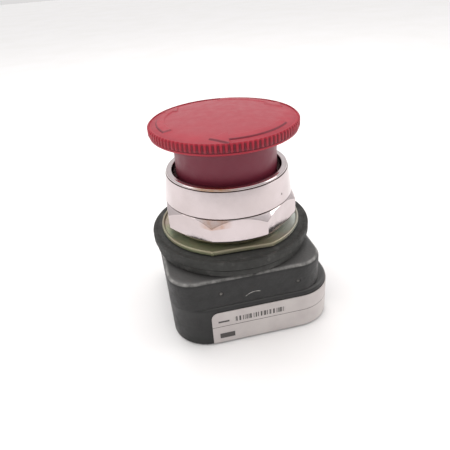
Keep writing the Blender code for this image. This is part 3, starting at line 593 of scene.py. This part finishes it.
def makeHead():
    top = [(r, domeHeight(r)) for r in (0.0, 1.0, 2.5, 4.5, 6.5, 8.5, 10.5, 12.0, 13.0, 13.6)]
    top += [(r, domeHeight(r)) for r in np.arange(13.8, head["topEdge"] + 0.05, 0.15)]
    low, high, rim = head["knurlBottom"], head["knurlTop"], head["rimRadius"]
    edge = softened([(head["topEdge"], domeHeight(head["topEdge"])), (rim - 0.15, high - 0.05, 0.2),
                     (rim, high - 0.3, 0.12), (rim, high - 0.25)], 3, closed=False)[1:]
    wall = [(rim, z) for z in (high - 0.4, (low + high) / 2, low + 0.4, low + 0.25)]
    skirt, inside, boss, bore = head["skirt"], head["skirtBore"], head["bossRadius"], head["bossBore"]
    under = softened([(rim, low + 0.1), (rim + 0.15, low, 0.1), (rim + 0.1, head["underside"] + 0.2, 0.15),
                      (rim - 0.2, head["underside"], 0.2), (skirt, head["underside"], 1.3),
                      (skirt, head["skirtBottom"], 0.35), (inside, head["skirtBottom"], 0.2),
                      (inside, head["ceiling"], 0.4), (boss, head["ceiling"], 0.4),
                      (boss, head["bossBottom"], 0.2), (bore, head["bossBottom"], 0.2),
                      (bore, head["boreTop"]), (0.0, head["boreTop"])], 5, closed=False)
    profile = np.vstack((top, edge, wall, under))
    cap = turned("headCap", profile, finishes["red"], head["segments"], raiseArrows)
    grow(cap, knurlTree(), {"teeth": head["teeth"], "depth": head["crest"] * mm, "low": low * mm,
                            "high": (high + 0.02) * mm, "fade": 0.45 * mm, "topFade": 0.3 * mm,
                            "innerRadius": (rim - 0.4) * mm})
    smooth(cap, 50)
    return install(cap, "head", "red_plastic", "mushroom_cap")


makeHead()
print("head made")

ring = {
    "turn": -4.0, "flats": 36.6, "corner": 19.8, "nutBottom": 30.4, "nutTop": 37.4, "coneTop": 18.2,
    "chamferDrop": 1.267, "bottomSlope": 0.6, "grooveRadius": 17.9, "bandBottom": 18.5, "bandTop": 17.45,
    "bandTopHeight": 45.0, "lipRadius": 17.3, "top": 45.9, "bore": 15.6, "boreBottom": 36.6,
    "hub": 16.4, "hubBottom": 28.5, "threadBore": 15.3, "threadTop": 36.2,
}


def makeRing():
    half, steps, edge = 22.5, 22, 0.35  # half a flat, columns across it and half a rounded corner, in degrees
    inner = np.linspace(-half + 1.2, half - 1.2, steps)
    columns = np.concatenate(([-half + edge, -half + 2 * edge], inner, [half - 2 * edge, half - edge]))
    offsets = np.concatenate([columns + 45.0 * k for k in range(8)])
    within = np.tile(columns, 8)
    angles = np.radians(offsets + ring["turn"] - 90.0)
    flatRadius = np.minimum(ring["flats"] / 2 / np.cos(np.radians(within)), ring["corner"])
    meet = ring["nutTop"] - (flatRadius - ring["coneTop"]) * ring["chamferDrop"]

    def circle(r, z):
        return np.full(angles.shape, float(r)), np.full(angles.shape, float(z))

    seam, foot = ring["bandTopHeight"], ring["nutTop"]
    lip, groove = ring["lipRadius"], ring["grooveRadius"]
    bead = softened([(ring["bore"], ring["top"] - 0.9), (ring["bore"], ring["top"], 0.55),
                     (lip, ring["top"], 0.6), (lip, seam + 0.2, 0.12), (lip - 0.2, seam + 0.16, 0.04),
                     (lip - 0.2, seam + 0.04, 0.04), (ring["bandTop"], seam, 0.12),
                     (ring["bandBottom"], foot + 0.32, 0.15), (groove, foot + 0.26, 0.08),
                     (groove, foot + 0.04, 0.08), (ring["coneTop"] - 0.05, foot + 0.02)], 5, closed=False)
    rows = [circle(r, z) for r, z in bead]
    for share in (0.25, 0.6, 0.9):
        rows.append((ring["coneTop"] + (flatRadius - ring["coneTop"]) * share, foot + (meet - foot) * share))
    under = ring["nutBottom"] + (flatRadius - ring["flats"] / 2 + 0.15) * ring["bottomSlope"]
    rows += [(flatRadius - 0.05, meet + 0.06), (flatRadius, meet - 0.06), (flatRadius, meet - 0.4),
             (flatRadius, under + 0.4), (flatRadius, under + 0.07), (flatRadius - 0.06, under - 0.02)]
    for share in (0.5, 1.0):
        rows.append((flatRadius + (18.0 - flatRadius) * share, under + (ring["nutBottom"] - under) * share))
    rows.append(circle(17.8, ring["nutBottom"]))
    for r, z in softened([(ring["hub"] + 1.0, ring["nutBottom"]), (ring["hub"], ring["nutBottom"], 0.4),
                          (ring["hub"], ring["hubBottom"], 0.2), (ring["threadBore"], ring["hubBottom"], 0.2),
                          (ring["threadBore"], ring["threadTop"]), (ring["bore"], ring["boreBottom"]),
                          (ring["bore"], ring["top"] - 1.3)], 4, closed=False):
        rows.append(circle(r, z))
    grid = np.stack([np.stack((r * np.cos(angles), r * np.sin(angles), z), axis=1) for r, z in rows])
    nut = skin("ringNut", grid, finishes["chrome"])
    smooth(nut, 60)
    return install(nut, "housing", "chrome", "mounting_ring")


makeRing()
print("ring nut made")

washer = {"radius": 20.6, "flat": 18.95, "turn": -2.5, "thick": 0.7, "bottom": 27.5, "top": 28.9,
          "bore": 15.4, "tabAngle": -27.0, "tabHalf": 1.3, "tabReach": 0.3}


def makeWasher():
    half = math.degrees(math.acos(washer["flat"] / washer["radius"]))
    fine = np.concatenate((np.linspace(-half - 7, -half + 4, 40, endpoint=False),
                           np.linspace(-half + 4, half - 4, 30, endpoint=False),
                           np.linspace(half - 4, half + 4, 24, endpoint=False)))
    coarse = np.linspace(half + 4, 360 - half - 7, 150, endpoint=False)
    offsets = np.concatenate((fine, coarse))
    angles = np.radians(offsets + washer["turn"] - 90.0)
    wrapped = (offsets + 180.0) % 360.0 - 180.0
    tab = np.clip(1 - (np.abs(wrapped + washer["turn"] - washer["tabAngle"]) / washer["tabHalf"]) ** 4, 0, 1)
    toBore, face = washer["radius"] - washer["bore"], washer["bottom"] + washer["thick"]
    profile = softened([(0.0, washer["top"], 0.3), (0.0, washer["bottom"], 0.6), (toBore, washer["bottom"]),
                        (toBore, face, 0.15), (washer["thick"], face, 0.25),
                        (washer["thick"], washer["top"], 0.3)], 4)
    rows = []
    for inset, z in profile:
        if inset > toBore - 0.1:
            radius = np.full(angles.shape, washer["bore"])
        else:
            line = (washer["flat"] - inset) / np.maximum(np.cos(np.radians(wrapped)), 0.05)
            radius = np.minimum(washer["radius"] - inset, np.where(np.abs(wrapped) < 60, line, 99.0))
            radius = radius + tab * washer["tabReach"] * (inset < 0.5)
        rows.append(np.stack((radius * np.cos(angles), radius * np.sin(angles),
                              np.full(angles.shape, z)), axis=1))
    disc = skin("trimWasher", np.stack(rows), finishes["yellowZinc"])
    smooth(disc, 40)
    return install(disc, "housing", "yellow_zinc", "trim_washer")


gaskets = {"bore": 15.35, "grooveIn": 21.3, "grooveOut": 22.4,  # then radius, bottom, top and groove depth
           "panelGasket": (23.5, 24.8, 27.3, 0.12), "spacerGasket": (22.9, 22.5, 24.5, 0.08)}


def makeGasket(name, node):
    radius, bottom, top, depth = gaskets[name]
    bore, start, end, floor = gaskets["bore"], gaskets["grooveIn"], gaskets["grooveOut"], top - depth
    profile = softened([(radius, top, 0.35), (radius, bottom, 0.35), (bore, bottom, 0.1), (bore, top, 0.1),
                        (start, top), (start + 0.3, floor, 0.2), (end - 0.2, floor, 0.2), (end, top)], 4)
    disc = turned(name, profile, finishes["gasket"], 200)
    return install(disc, "housing", "black_rubber", node)


makeWasher()
makeGasket("panelGasket", "panel_gasket")
makeGasket("spacerGasket", "spacer_gasket")
print("washer and gaskets made")

body = {"width": 44.4, "depth": 44.6, "corner": 7.5, "bottom": 13.06, "top": 22.2, "edge": 1.4,
        "bore": 15.35, "flangeBore": 17.3, "flangeTop": 15.9, "pinHeight": 18.0, "plugBore": 2.4,
        "plugMouth": 2.9, "dowelAt": ((-8.5, 17.4), (13.8, 16.7)), "dowelRadius": 0.48}


def makeBody():
    low, high, edge = body["bottom"], body["top"], body["edge"]
    rows = [tuple(p) for p in softened([(8.0, high), (0.0, high, edge), (0.0, low, 0.12), (8.0, low)],
                                       6, closed=False)]
    half = len(rows) // 2
    rows[half:half] = [(0.0, high - edge - 0.4), (0.0, low + 1.2)]  # keep the walls flat
    block = roundedSweep("operatorBody", body["width"], body["depth"], body["corner"], 0.0, rows,
                         finishes["enamel"])
    front, axis = -body["depth"] / 2, body["pinHeight"]
    tools = [rod("bore", body["bore"], (0, 0, low - 1), (0, 0, high + 1), 128),
             rod("flangeBore", body["flangeBore"], (0, 0, low - 1), (0, 0, body["flangeTop"]), 128)]
    for side in (-1, 1):
        tools.append(rod("plugBore", body["plugBore"], (side * 14.0, 0, axis), (side * 23.0, 0, axis), 48))
        tools.append(rod("plugMouth", body["plugMouth"], (side * 22.8, 0, axis), (side * 21.6, 0, axis), 48,
                         farRadius=body["plugBore"] - 0.1))
    for x, z in body["dowelAt"]:
        tools.append(rod("dowelBore", body["dowelRadius"] + 0.12, (x, front - 1, z), (x, front + 3.8, z), 32))
    cutAway(block, *tools)
    smooth(block, 40)
    return install(block, "housing", "black_paint", "operator_body")


def pinTree():
    # a short round pin with a bevelled end on each point, built in millimetres and shrunk as it is placed
    tree, sizes = startTree("bevelledPins", {"radius": 0.6, "length": 4.0, "bevel": 0.15})
    narrow = addNode(tree, "ShaderNodeMath", {0: sizes["radius"], 1: sizes["bevel"]},
                     operation="SUBTRACT").outputs[0]
    tip = addNode(tree, "GeometryNodeMeshCone", {"Vertices": 32, "Radius Top": sizes["radius"],
                                                 "Radius Bottom": narrow, "Depth": sizes["bevel"]})
    under = addNode(tree, "ShaderNodeMath", {0: sizes["radius"], 1: 0.97}, operation="MULTIPLY").outputs[0]
    shank = addNode(tree, "GeometryNodeMeshCylinder", {"Vertices": 32, "Radius": under,
                                                       "Depth": sizes["length"]})
    half = addNode(tree, "ShaderNodeMath", {0: sizes["length"], 1: 0.5}, operation="MULTIPLY").outputs[0]
    middle = addNode(tree, "ShaderNodeMath", {0: half, 1: 0.1}, operation="ADD").outputs[0]
    rise = addNode(tree, "ShaderNodeCombineXYZ", {"Z": middle}).outputs[0]
    placed = addNode(tree, "GeometryNodeTransform", {"Geometry": shank.outputs["Mesh"], "Translation": rise})
    whole = addNode(tree, "GeometryNodeMeshBoolean", {"Mesh 2": tip.outputs["Mesh"]}, operation="UNION")
    tree.links.new(placed.outputs[0], whole.inputs["Mesh 2"])
    copies = addNode(tree, "GeometryNodeInstanceOnPoints",
                     {"Points": sizes["Geometry"], "Instance": whole.outputs["Mesh"], "Scale": (mm, mm, mm),
                      "Rotation": (-math.pi / 2, 0.0, 0.0)})
    return endTree(tree, copies.outputs[0], finishes["dullSteel"])


def makeDowels():
    end = -body["depth"] / 2 - 0.02
    pins = pointsPiece("dowelPins", [(x, end, z) for x, z in body["dowelAt"]])
    grow(pins, pinTree(), {"radius": body["dowelRadius"], "length": 3.4, "bevel": 0.15})
    smooth(pins, 40)
    return install(pins, "housing", "steel", "dowel_pin_left", "dowel_pin_right")


def slottedTree():
    # slotted screws: head and shank with a slot cut across the outer end, one on each point,
    # built in millimetres and shrunk as they are placed
    tree, sizes = startTree("slottedScrews", {"headRadius": 1.5, "headBase": 0.8, "headHeight": 0.8,
                                              "shankRadius": 0.8, "length": 7.0, "slotWidth": 0.6,
                                              "slotDepth": 0.4})
    top = addNode(tree, "GeometryNodeMeshCone", {"Vertices": 48, "Radius Top": sizes["headBase"],
                                                 "Radius Bottom": sizes["headRadius"],
                                                 "Depth": sizes["headHeight"]})
    inner = addNode(tree, "ShaderNodeMath", {0: sizes["headHeight"], 1: 0.5}, operation="MULTIPLY").outputs[0]
    shankLength = addNode(tree, "ShaderNodeMath", {0: sizes["length"], 1: inner},
                          operation="SUBTRACT").outputs[0]
    half = addNode(tree, "ShaderNodeMath", {0: shankLength, 1: 0.5}, operation="MULTIPLY").outputs[0]
    middle = addNode(tree, "ShaderNodeMath", {0: half, 1: inner}, operation="ADD").outputs[0]
    shank = addNode(tree, "GeometryNodeMeshCylinder", {"Vertices": 32, "Radius": sizes["shankRadius"],
                                                       "Depth": shankLength})
    rise = addNode(tree, "ShaderNodeCombineXYZ", {"Z": middle}).outputs[0]
    placed = addNode(tree, "GeometryNodeTransform", {"Geometry": shank.outputs["Mesh"], "Translation": rise})
    whole = addNode(tree, "GeometryNodeMeshBoolean", {"Mesh 2": top.outputs["Mesh"]}, operation="UNION")
    tree.links.new(placed.outputs[0], whole.inputs["Mesh 2"])
    double = addNode(tree, "ShaderNodeMath", {0: sizes["slotDepth"], 1: 2.0}, operation="MULTIPLY").outputs[0]
    slotSize = addNode(tree, "ShaderNodeCombineXYZ", {"X": 20.0, "Y": sizes["slotWidth"],
                                                      "Z": double}).outputs[0]
    slotTool = addNode(tree, "GeometryNodeMeshCube", {"Size": slotSize})
    cut = addNode(tree, "GeometryNodeMeshBoolean",
                  {"Mesh 1": whole.outputs["Mesh"], "Mesh 2": slotTool.outputs["Mesh"]},
                  operation="DIFFERENCE")
    copies = addNode(tree, "GeometryNodeInstanceOnPoints",
                     {"Points": sizes["Geometry"], "Instance": cut.outputs["Mesh"], "Scale": (mm, mm, mm)})
    return endTree(tree, copies.outputs[0], finishes["steel"])


slotted = slottedTree()


plugSizes = {"headRadius": 2.0, "headBase": 2.2, "headHeight": 0.4, "shankRadius": 2.16, "length": 2.2,
             "slotWidth": 0.7, "slotDepth": 0.9}


def makePlug(side, word):
    plug = pointsPiece(f"latchPlug{word}", [(0, 0, 0)])
    grow(plug, slotted, plugSizes)
    turn = Matrix.Rotation(math.radians(-90 * side), 4, "Y") @ Matrix.Rotation(0.5, 4, "Z")
    plug.data.transform(Matrix.Translation((side * 21.85 * mm, 0, body["pinHeight"] * mm)) @ turn)
    smooth(plug, 30)
    return install(plug, "housing", "steel", f"latch_plug_{word.lower()}")


makeBody()
makeDowels()
makePlug(-1, "Left")
makePlug(1, "Right")
print("operator body made")

base = {"width": 47.4, "depth": 45.3, "height": 13.0, "corner": 10.5, "shift": 1.8, "edge": 1.0, "inset": 1.5,
        "gap": 0.25, "coverThick": 1.5, "cavityX": 33.0, "cavityY": 24.0, "cavityTop": 11.4, "topHole": 8.2,
        "insertY": 16.8, "pinY": 9.5, "screwAt": 16.2, "windowX": 12.0, "windowHalf": 4.5,
        "coverScrewX": (-18.6, 20.4)}


def makeBase():
    high, edge = base["height"], base["edge"]
    rows = [tuple(p) for p in softened([(10.0, high), (0.0, high, edge), (0.0, 0.0, 0.35), (8.0, 0.0)],
                                       6, closed=False)]
    half = len(rows) // 2
    rows[half:half] = [(0.0, high - edge - 0.4), (0.0, 0.8)]
    shell = roundedSweep("baseHousing", base["width"], base["depth"], base["corner"], base["shift"], rows,
                         finishes["phenolic"])
    inset = base["inset"] - base["gap"]
    rebate = roundedSweep("rebate", base["width"] - 2 * inset, base["depth"] - 2 * inset,
                          base["corner"] - inset, base["shift"],
                          [(0.0, base["coverThick"] + 0.3), (0.0, -1.0)], None, steps=9)
    cavity = roundedSweep("cavity", base["cavityX"], base["cavityY"], 3.0, 0.0,
                          [(0.0, base["cavityTop"]), (0.0, -1.0)], None, steps=6)
    start, insertY, at = 1.2, base["insertY"], base["screwAt"]  # bores start inside the rebate
    tools = [rebate, cavity,
             rod("camHole", base["topHole"], (0, 0, base["cavityTop"] - 1), (0, 0, high + 1), 96)]
    for x in (-at, at):
        for y in (-at, at):
            tools.append(rod("screwHead", 3.2, (x, y, start), (x, y, 5.3), 36))
            tools.append(rod("screwShank", 1.8, (x, y, 4), (x, y, high + 1), 32))
    for side in (-1, 1):
        tools.append(rod("insertHole", 2.9, (0, side * insertY, start), (0, side * insertY, 10.4), 40))
        tools.append(rod("pinHole", 1.5, (0, side * base["pinY"], base["cavityTop"] - 0.5),
                         (0, side * base["pinY"], 12.4), 24))
    for x in base["coverScrewX"]:
        tools.append(rod("pilot", 1.1, (x, 0, start), (x, 0, 8.0), 24))
    cutAway(shell, *tools)
    smooth(shell, 40)
    return install(shell, "housing", "black_plastic", "base_housing")


def makeCover():
    rows = [(0.0, base["coverThick"] - 0.02), (0.0, 0.4)] + [tuple(p) for p in softened(
        [(0.0, 0.4), (0.0, 0.0, 0.2), (6.0, 0.0)], 3, closed=False)[1:]]
    cover = roundedSweep("rearCover", base["width"] - 2 * base["inset"], base["depth"] - 2 * base["inset"],
                         base["corner"] - base["inset"], base["shift"], rows, finishes["enamel"])
    tools, size = [], 2 * base["windowHalf"]
    for side in (-1, 1):
        insertY, pinY = side * base["insertY"], side * base["pinY"]
        tools += [roundedSweep("window", size, size, 0.8, side * base["windowX"], [(0, 3.0), (0, -1.0)],
                               None, 6),
                  rod("insertHole", 2.1, (0, insertY, -1), (0, insertY, 3), 40),
                  rod("pinHole", 1.5, (0, pinY, 0.6), (0, pinY, 3), 24)]
    for x in base["coverScrewX"]:
        tools += [rod("screwHole", 1.15, (x, 0, -1), (x, 0, 3), 32),
                  rod("countersink", 2.0, (x, 0, -0.1), (x, 0, 0.8), 32, farRadius=1.1)]
    cutAway(cover, *tools)
    smooth(cover, 40)
    return install(cover, "housing", "cover_paint", "rear_cover")


coverScrewSizes = {"headRadius": 1.5, "headBase": 0.85, "headHeight": 0.7, "shankRadius": 0.8, "length": 7.3,
                   "slotWidth": 0.5, "slotDepth": 0.35}


def makeCoverScrews():
    screws = pointsPiece("coverScrews", [(x, 0.0, 0.05) for x in base["coverScrewX"]])
    grow(screws, slotted, coverScrewSizes)
    smooth(screws, 30)
    return install(screws, "housing", "steel", "cover_screw_left", "cover_screw_right")


label = {"left": -11.9, "low": 0.4, "high": 11.3, "roundEnd": 2.0, "standOff": 0.08, "thick": 0.2,
         "wrap": 80.0}  # wrap is how far it goes round the corner, in degrees


def makeLabel():
    front, right = -base["depth"] / 2, base["shift"] + base["width"] / 2
    cornerX, cornerY = right - base["corner"], front + base["corner"]
    columns = []
    for k in range(9):
        turn = math.pi / 2 * k / 8
        x = label["left"] + label["roundEnd"] * (1 - math.cos(turn))
        columns.append((x, front, 0.0, label["high"] - label["roundEnd"] * (1 - math.sin(turn)), x))
    for x in np.linspace(label["left"] + label["roundEnd"] + 2, cornerX, 8):
        columns.append((float(x), front, 0.0, label["high"], float(x)))
    for k in range(1, 25):
        turn = math.radians(label["wrap"] * k / 24)
        columns.append((cornerX + base["corner"] * math.sin(turn), cornerY - base["corner"] * math.cos(turn),
                        turn, label["high"], cornerX + base["corner"] * turn))
    heights = np.linspace(0.0, 1.0, 7)
    form = bmesh.new()
    uv = form.loops.layers.uv.new("print")
    flatPlace, outer, inner = {}, [], []
    for sheetRows, push in ((outer, label["standOff"] + label["thick"]), (inner, label["standOff"])):
        for x, y, turn, high, along in columns:
            row = []
            for share in heights:
                z = label["low"] + (high - label["low"]) * share
                place = Vector((x + math.sin(turn) * push, y - math.cos(turn) * push, z))
                vert = form.verts.new(place * mm)
                flatPlace[vert] = (along - label["left"], z - label["low"])
                row.append(vert)
            sheetRows.append(row)
    for i in range(len(columns) - 1):
        for j in range(len(heights) - 1):
            form.faces.new((outer[i][j], outer[i + 1][j], outer[i + 1][j + 1], outer[i][j + 1]))
            form.faces.new((inner[i][j], inner[i][j + 1], inner[i + 1][j + 1], inner[i + 1][j]))
        for j, flip in ((0, False), (len(heights) - 1, True)):
            rim = (outer[i][j], inner[i][j], inner[i + 1][j], outer[i + 1][j])
            form.faces.new(rim[::-1] if flip else rim)
    for i, flip in ((0, False), (len(columns) - 1, True)):
        for j in range(len(heights) - 1):
            rim = (outer[i][j], outer[i][j + 1], inner[i][j + 1], inner[i][j])
            form.faces.new(rim[::-1] if flip else rim)
    for face in form.faces:
        for loop in face.loops:
            loop[uv].uv = flatPlace[loop.vert]
    sheet = smooth(keep("ratingLabel", stored("ratingLabel", form), finishes["label"]), 40)
    return install(sheet, "housing", "label_foil", "rating_label")


makeBase()
makeCover()
makeCoverScrews()
makeLabel()
print("base made")


def springTree():
    # a coil of round wire whose end turns lie closer together
    tree, sizes = startTree("coilSpring", {"radius": 0.009, "wire": 0.0006, "bottom": 0.0, "top": 0.02,
                                           "turns": 6.0, "closing": 0.7})
    span = addNode(tree, "ShaderNodeMath", {0: sizes["top"], 1: sizes["bottom"]},
                   operation="SUBTRACT").outputs[0]
    twice = addNode(tree, "ShaderNodeMath", {0: sizes["wire"], 1: 2.0}, operation="MULTIPLY").outputs[0]
    height = addNode(tree, "ShaderNodeMath", {0: span, 1: twice}, operation="SUBTRACT").outputs[0]
    path = addNode(tree, "GeometryNodeCurveSpiral", {"Resolution": 48, "Rotations": sizes["turns"],
                                                     "Start Radius": sizes["radius"],
                                                     "End Radius": sizes["radius"], "Height": height})
    share = addNode(tree, "GeometryNodeSplineParameter").outputs["Factor"]
    turn = addNode(tree, "ShaderNodeMath", {0: share, 1: math.tau}, operation="MULTIPLY").outputs[0]
    shift = addNode(tree, "ShaderNodeMath", {0: turn}, operation="SINE").outputs[0]
    for factor in (-1 / math.tau, sizes["closing"], height):
        shift = addNode(tree, "ShaderNodeMath", {0: shift, 1: factor}, operation="MULTIPLY").outputs[0]
    lift = shift
    for rise in (sizes["bottom"], sizes["wire"]):
        lift = addNode(tree, "ShaderNodeMath", {0: lift, 1: rise}, operation="ADD").outputs[0]
    offset = addNode(tree, "ShaderNodeCombineXYZ", {"Z": lift}).outputs[0]
    moved = addNode(tree, "GeometryNodeSetPosition", {"Geometry": path.outputs[0], "Offset": offset})
    ringCurve = addNode(tree, "GeometryNodeCurvePrimitiveCircle", {"Resolution": 12, "Radius": sizes["wire"]})
    tube = addNode(tree, "GeometryNodeCurveToMesh", {"Curve": moved.outputs[0],
                                                     "Profile Curve": ringCurve.outputs["Curve"],
                                                     "Fill Caps": True})
    return endTree(tree, tube.outputs[0], finishes["wire"])


springs = springTree()
springSizes = {  # radius and wire, bottom and top along its axis, turns, and how far its ends close up
    "return_spring": (9.8, 0.64, 36.8, 56.0, 6.5, 0.7),
    "torsion_spring": (8.2, 0.44, 27.6, 31.6, 4.0, 0.0),
    "latch_spring": (1.7, 0.24, 13.9, 19.3, 6.0, 0.5),
}


def makeSpring(name, node, kind, side=0):  # side lays it along the left or right latch pin
    radius, wire, bottom, top, turns, closing = springSizes[kind]
    spring = pointsPiece(name, [(0, 0, 0)])
    grow(spring, springs, {"radius": radius * mm, "wire": wire * mm, "bottom": bottom * mm, "top": top * mm,
                           "turns": turns, "closing": closing})
    if side:
        turn = Matrix.Rotation(math.radians(90 * side), 4, "Y")
        spring.data.transform(Matrix.Translation((0, 0, body["pinHeight"] * mm)) @ turn)
    smooth(spring, 60)
    return install(spring, "housing", "spring_steel", node)


returnSpring = makeSpring("returnSpring", "return_spring", "return_spring")
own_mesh(returnSpring)
makeSpring("twistSpring", "torsion_spring", "torsion_spring")
makeSpring("latchSpringLeft", "latch_spring_left", "latch_spring", -1)
makeSpring("latchSpringRight", "latch_spring_right", "latch_spring", 1)
print("springs made")

keptFinish = {
    "dieCast": ["threaded_bushing"],
    "steel": ["plunger_shaft", "cam_cross_pin", "latch_pin_left", "latch_pin_right", "retaining_clip",
              "guide_pin_front", "guide_pin_rear", "spring_seat", "housing_screw_1", "housing_screw_2",
              "housing_screw_3", "housing_screw_4"],
    "brass": ["guide_bush", "cap_insert", "contact_insert_front", "contact_insert_rear"],
    "seal": ["body_seal_ring", "shaft_seal"],
    "acetal": ["twist_cam", "twist_stop_ring", "actuator_plate"],
}
for look, names in keptFinish.items():
    for name in names:
        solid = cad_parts[name]
        solid.data.materials.clear()
        solid.data.materials.append(finishes[look])
print("inner pieces finished")

stage = {"floor": ((0.0, "#FBF9F9"), (1.0, "#F8F6F5")), "floorSize": 4.0, "floorGap": 0.0002,  # metres
         "sky": "#FFFFFF", "horizon": "#DEDCDC", "skyStrength": 1.0, "frontDim": 0.65}


def makeStage():
    form = bmesh.new()
    bmesh.ops.create_grid(form, x_segments=1, y_segments=1, size=stage["floorSize"] / 2)
    bmesh.ops.translate(form, verts=form.verts, vec=(0, 0, -stage["floorGap"]))
    finish, tree, shader, where = newFinish("paleStudioFloor", Roughness=0.9)
    tree.links.new(mottled(tree, where, 60.0, stage["floor"]), shader.inputs["Base Color"])
    keep("floor", stored("floor", form), finish)
    sky = bpy.data.worlds.new("studio")
    scene.world = sky
    sky.use_nodes = True
    tree = sky.node_tree
    ground = tree.nodes["Background"]
    toward = addNode(tree, "ShaderNodeTexCoord").outputs["Generated"]
    part = addNode(tree, "ShaderNodeSeparateXYZ", {"Vector": toward}).outputs
    dome = addNode(tree, "ShaderNodeValToRGB", {"Fac": part["Z"]},
                   ((0.0, stage["horizon"]), (0.7, stage["sky"])))
    dim = addNode(tree, "ShaderNodeMapRange", {"Value": part["Y"], "From Min": -1.0, "From Max": -0.2,
                                               "To Min": stage["frontDim"], "To Max": 1.0})
    tone = addNode(tree, "ShaderNodeMix", {"Factor": 1.0, "A": dome.outputs["Color"], "B": dim.outputs[0]},
                   data_type="RGBA", blend_type="MULTIPLY")
    tree.links.new(tone.outputs["Result"], ground.inputs["Color"])
    ground.inputs["Strength"].default_value = stage["skyStrength"]


lamps = {  # place and size in metres, power in watts, colour
    "overheadSoftbox": ((-0.05, 0.12, 0.5), 0.35, 1.0, "#FFFEFD"),
    "rightSoftbox": ((0.4, -0.08, 0.25), 0.2, 0.35, "#FFFCFA"),
    "leftSoftbox": ((-0.4, 0.0, 0.25), 0.2, 0.15, "#FFFCFA"),
}


def addLamp(name, aim=(0, 0, 0.03)):
    place, size, power, colour = lamps[name]
    lamp = bpy.data.lights.new(name, "AREA")
    lamp.shape, lamp.size, lamp.energy, lamp.color = "DISK", size, power, linear(colour)[:3]
    stand = bpy.data.objects.new(name, lamp)
    scene.collection.objects.link(stand)
    stand.location = place
    stand.rotation_euler = (Vector(aim) - Vector(place)).to_track_quat("-Z", "Y").to_euler()


view = {"place": (-0.02411, -0.11733, 0.09579), "turn": (59.455, 3.777, -13.026),  # metres and degrees
        "lens": 36.0, "sensor": 36.0}


def addCamera():
    camera = bpy.data.cameras.new("camera")
    camera.lens, camera.sensor_width = view["lens"], view["sensor"]
    camera.clip_start, camera.clip_end = 0.005, 20.0
    viewer = bpy.data.objects.new("camera", camera)
    scene.collection.objects.link(viewer)
    viewer.location = view["place"]
    viewer.rotation_euler = Euler([math.radians(d) for d in view["turn"]], "XYZ")
    scene.camera = viewer
    scene.view_settings.view_transform = "Standard"


makeStage()
for name in lamps:
    addLamp(name)
addCamera()
print("stage ready")
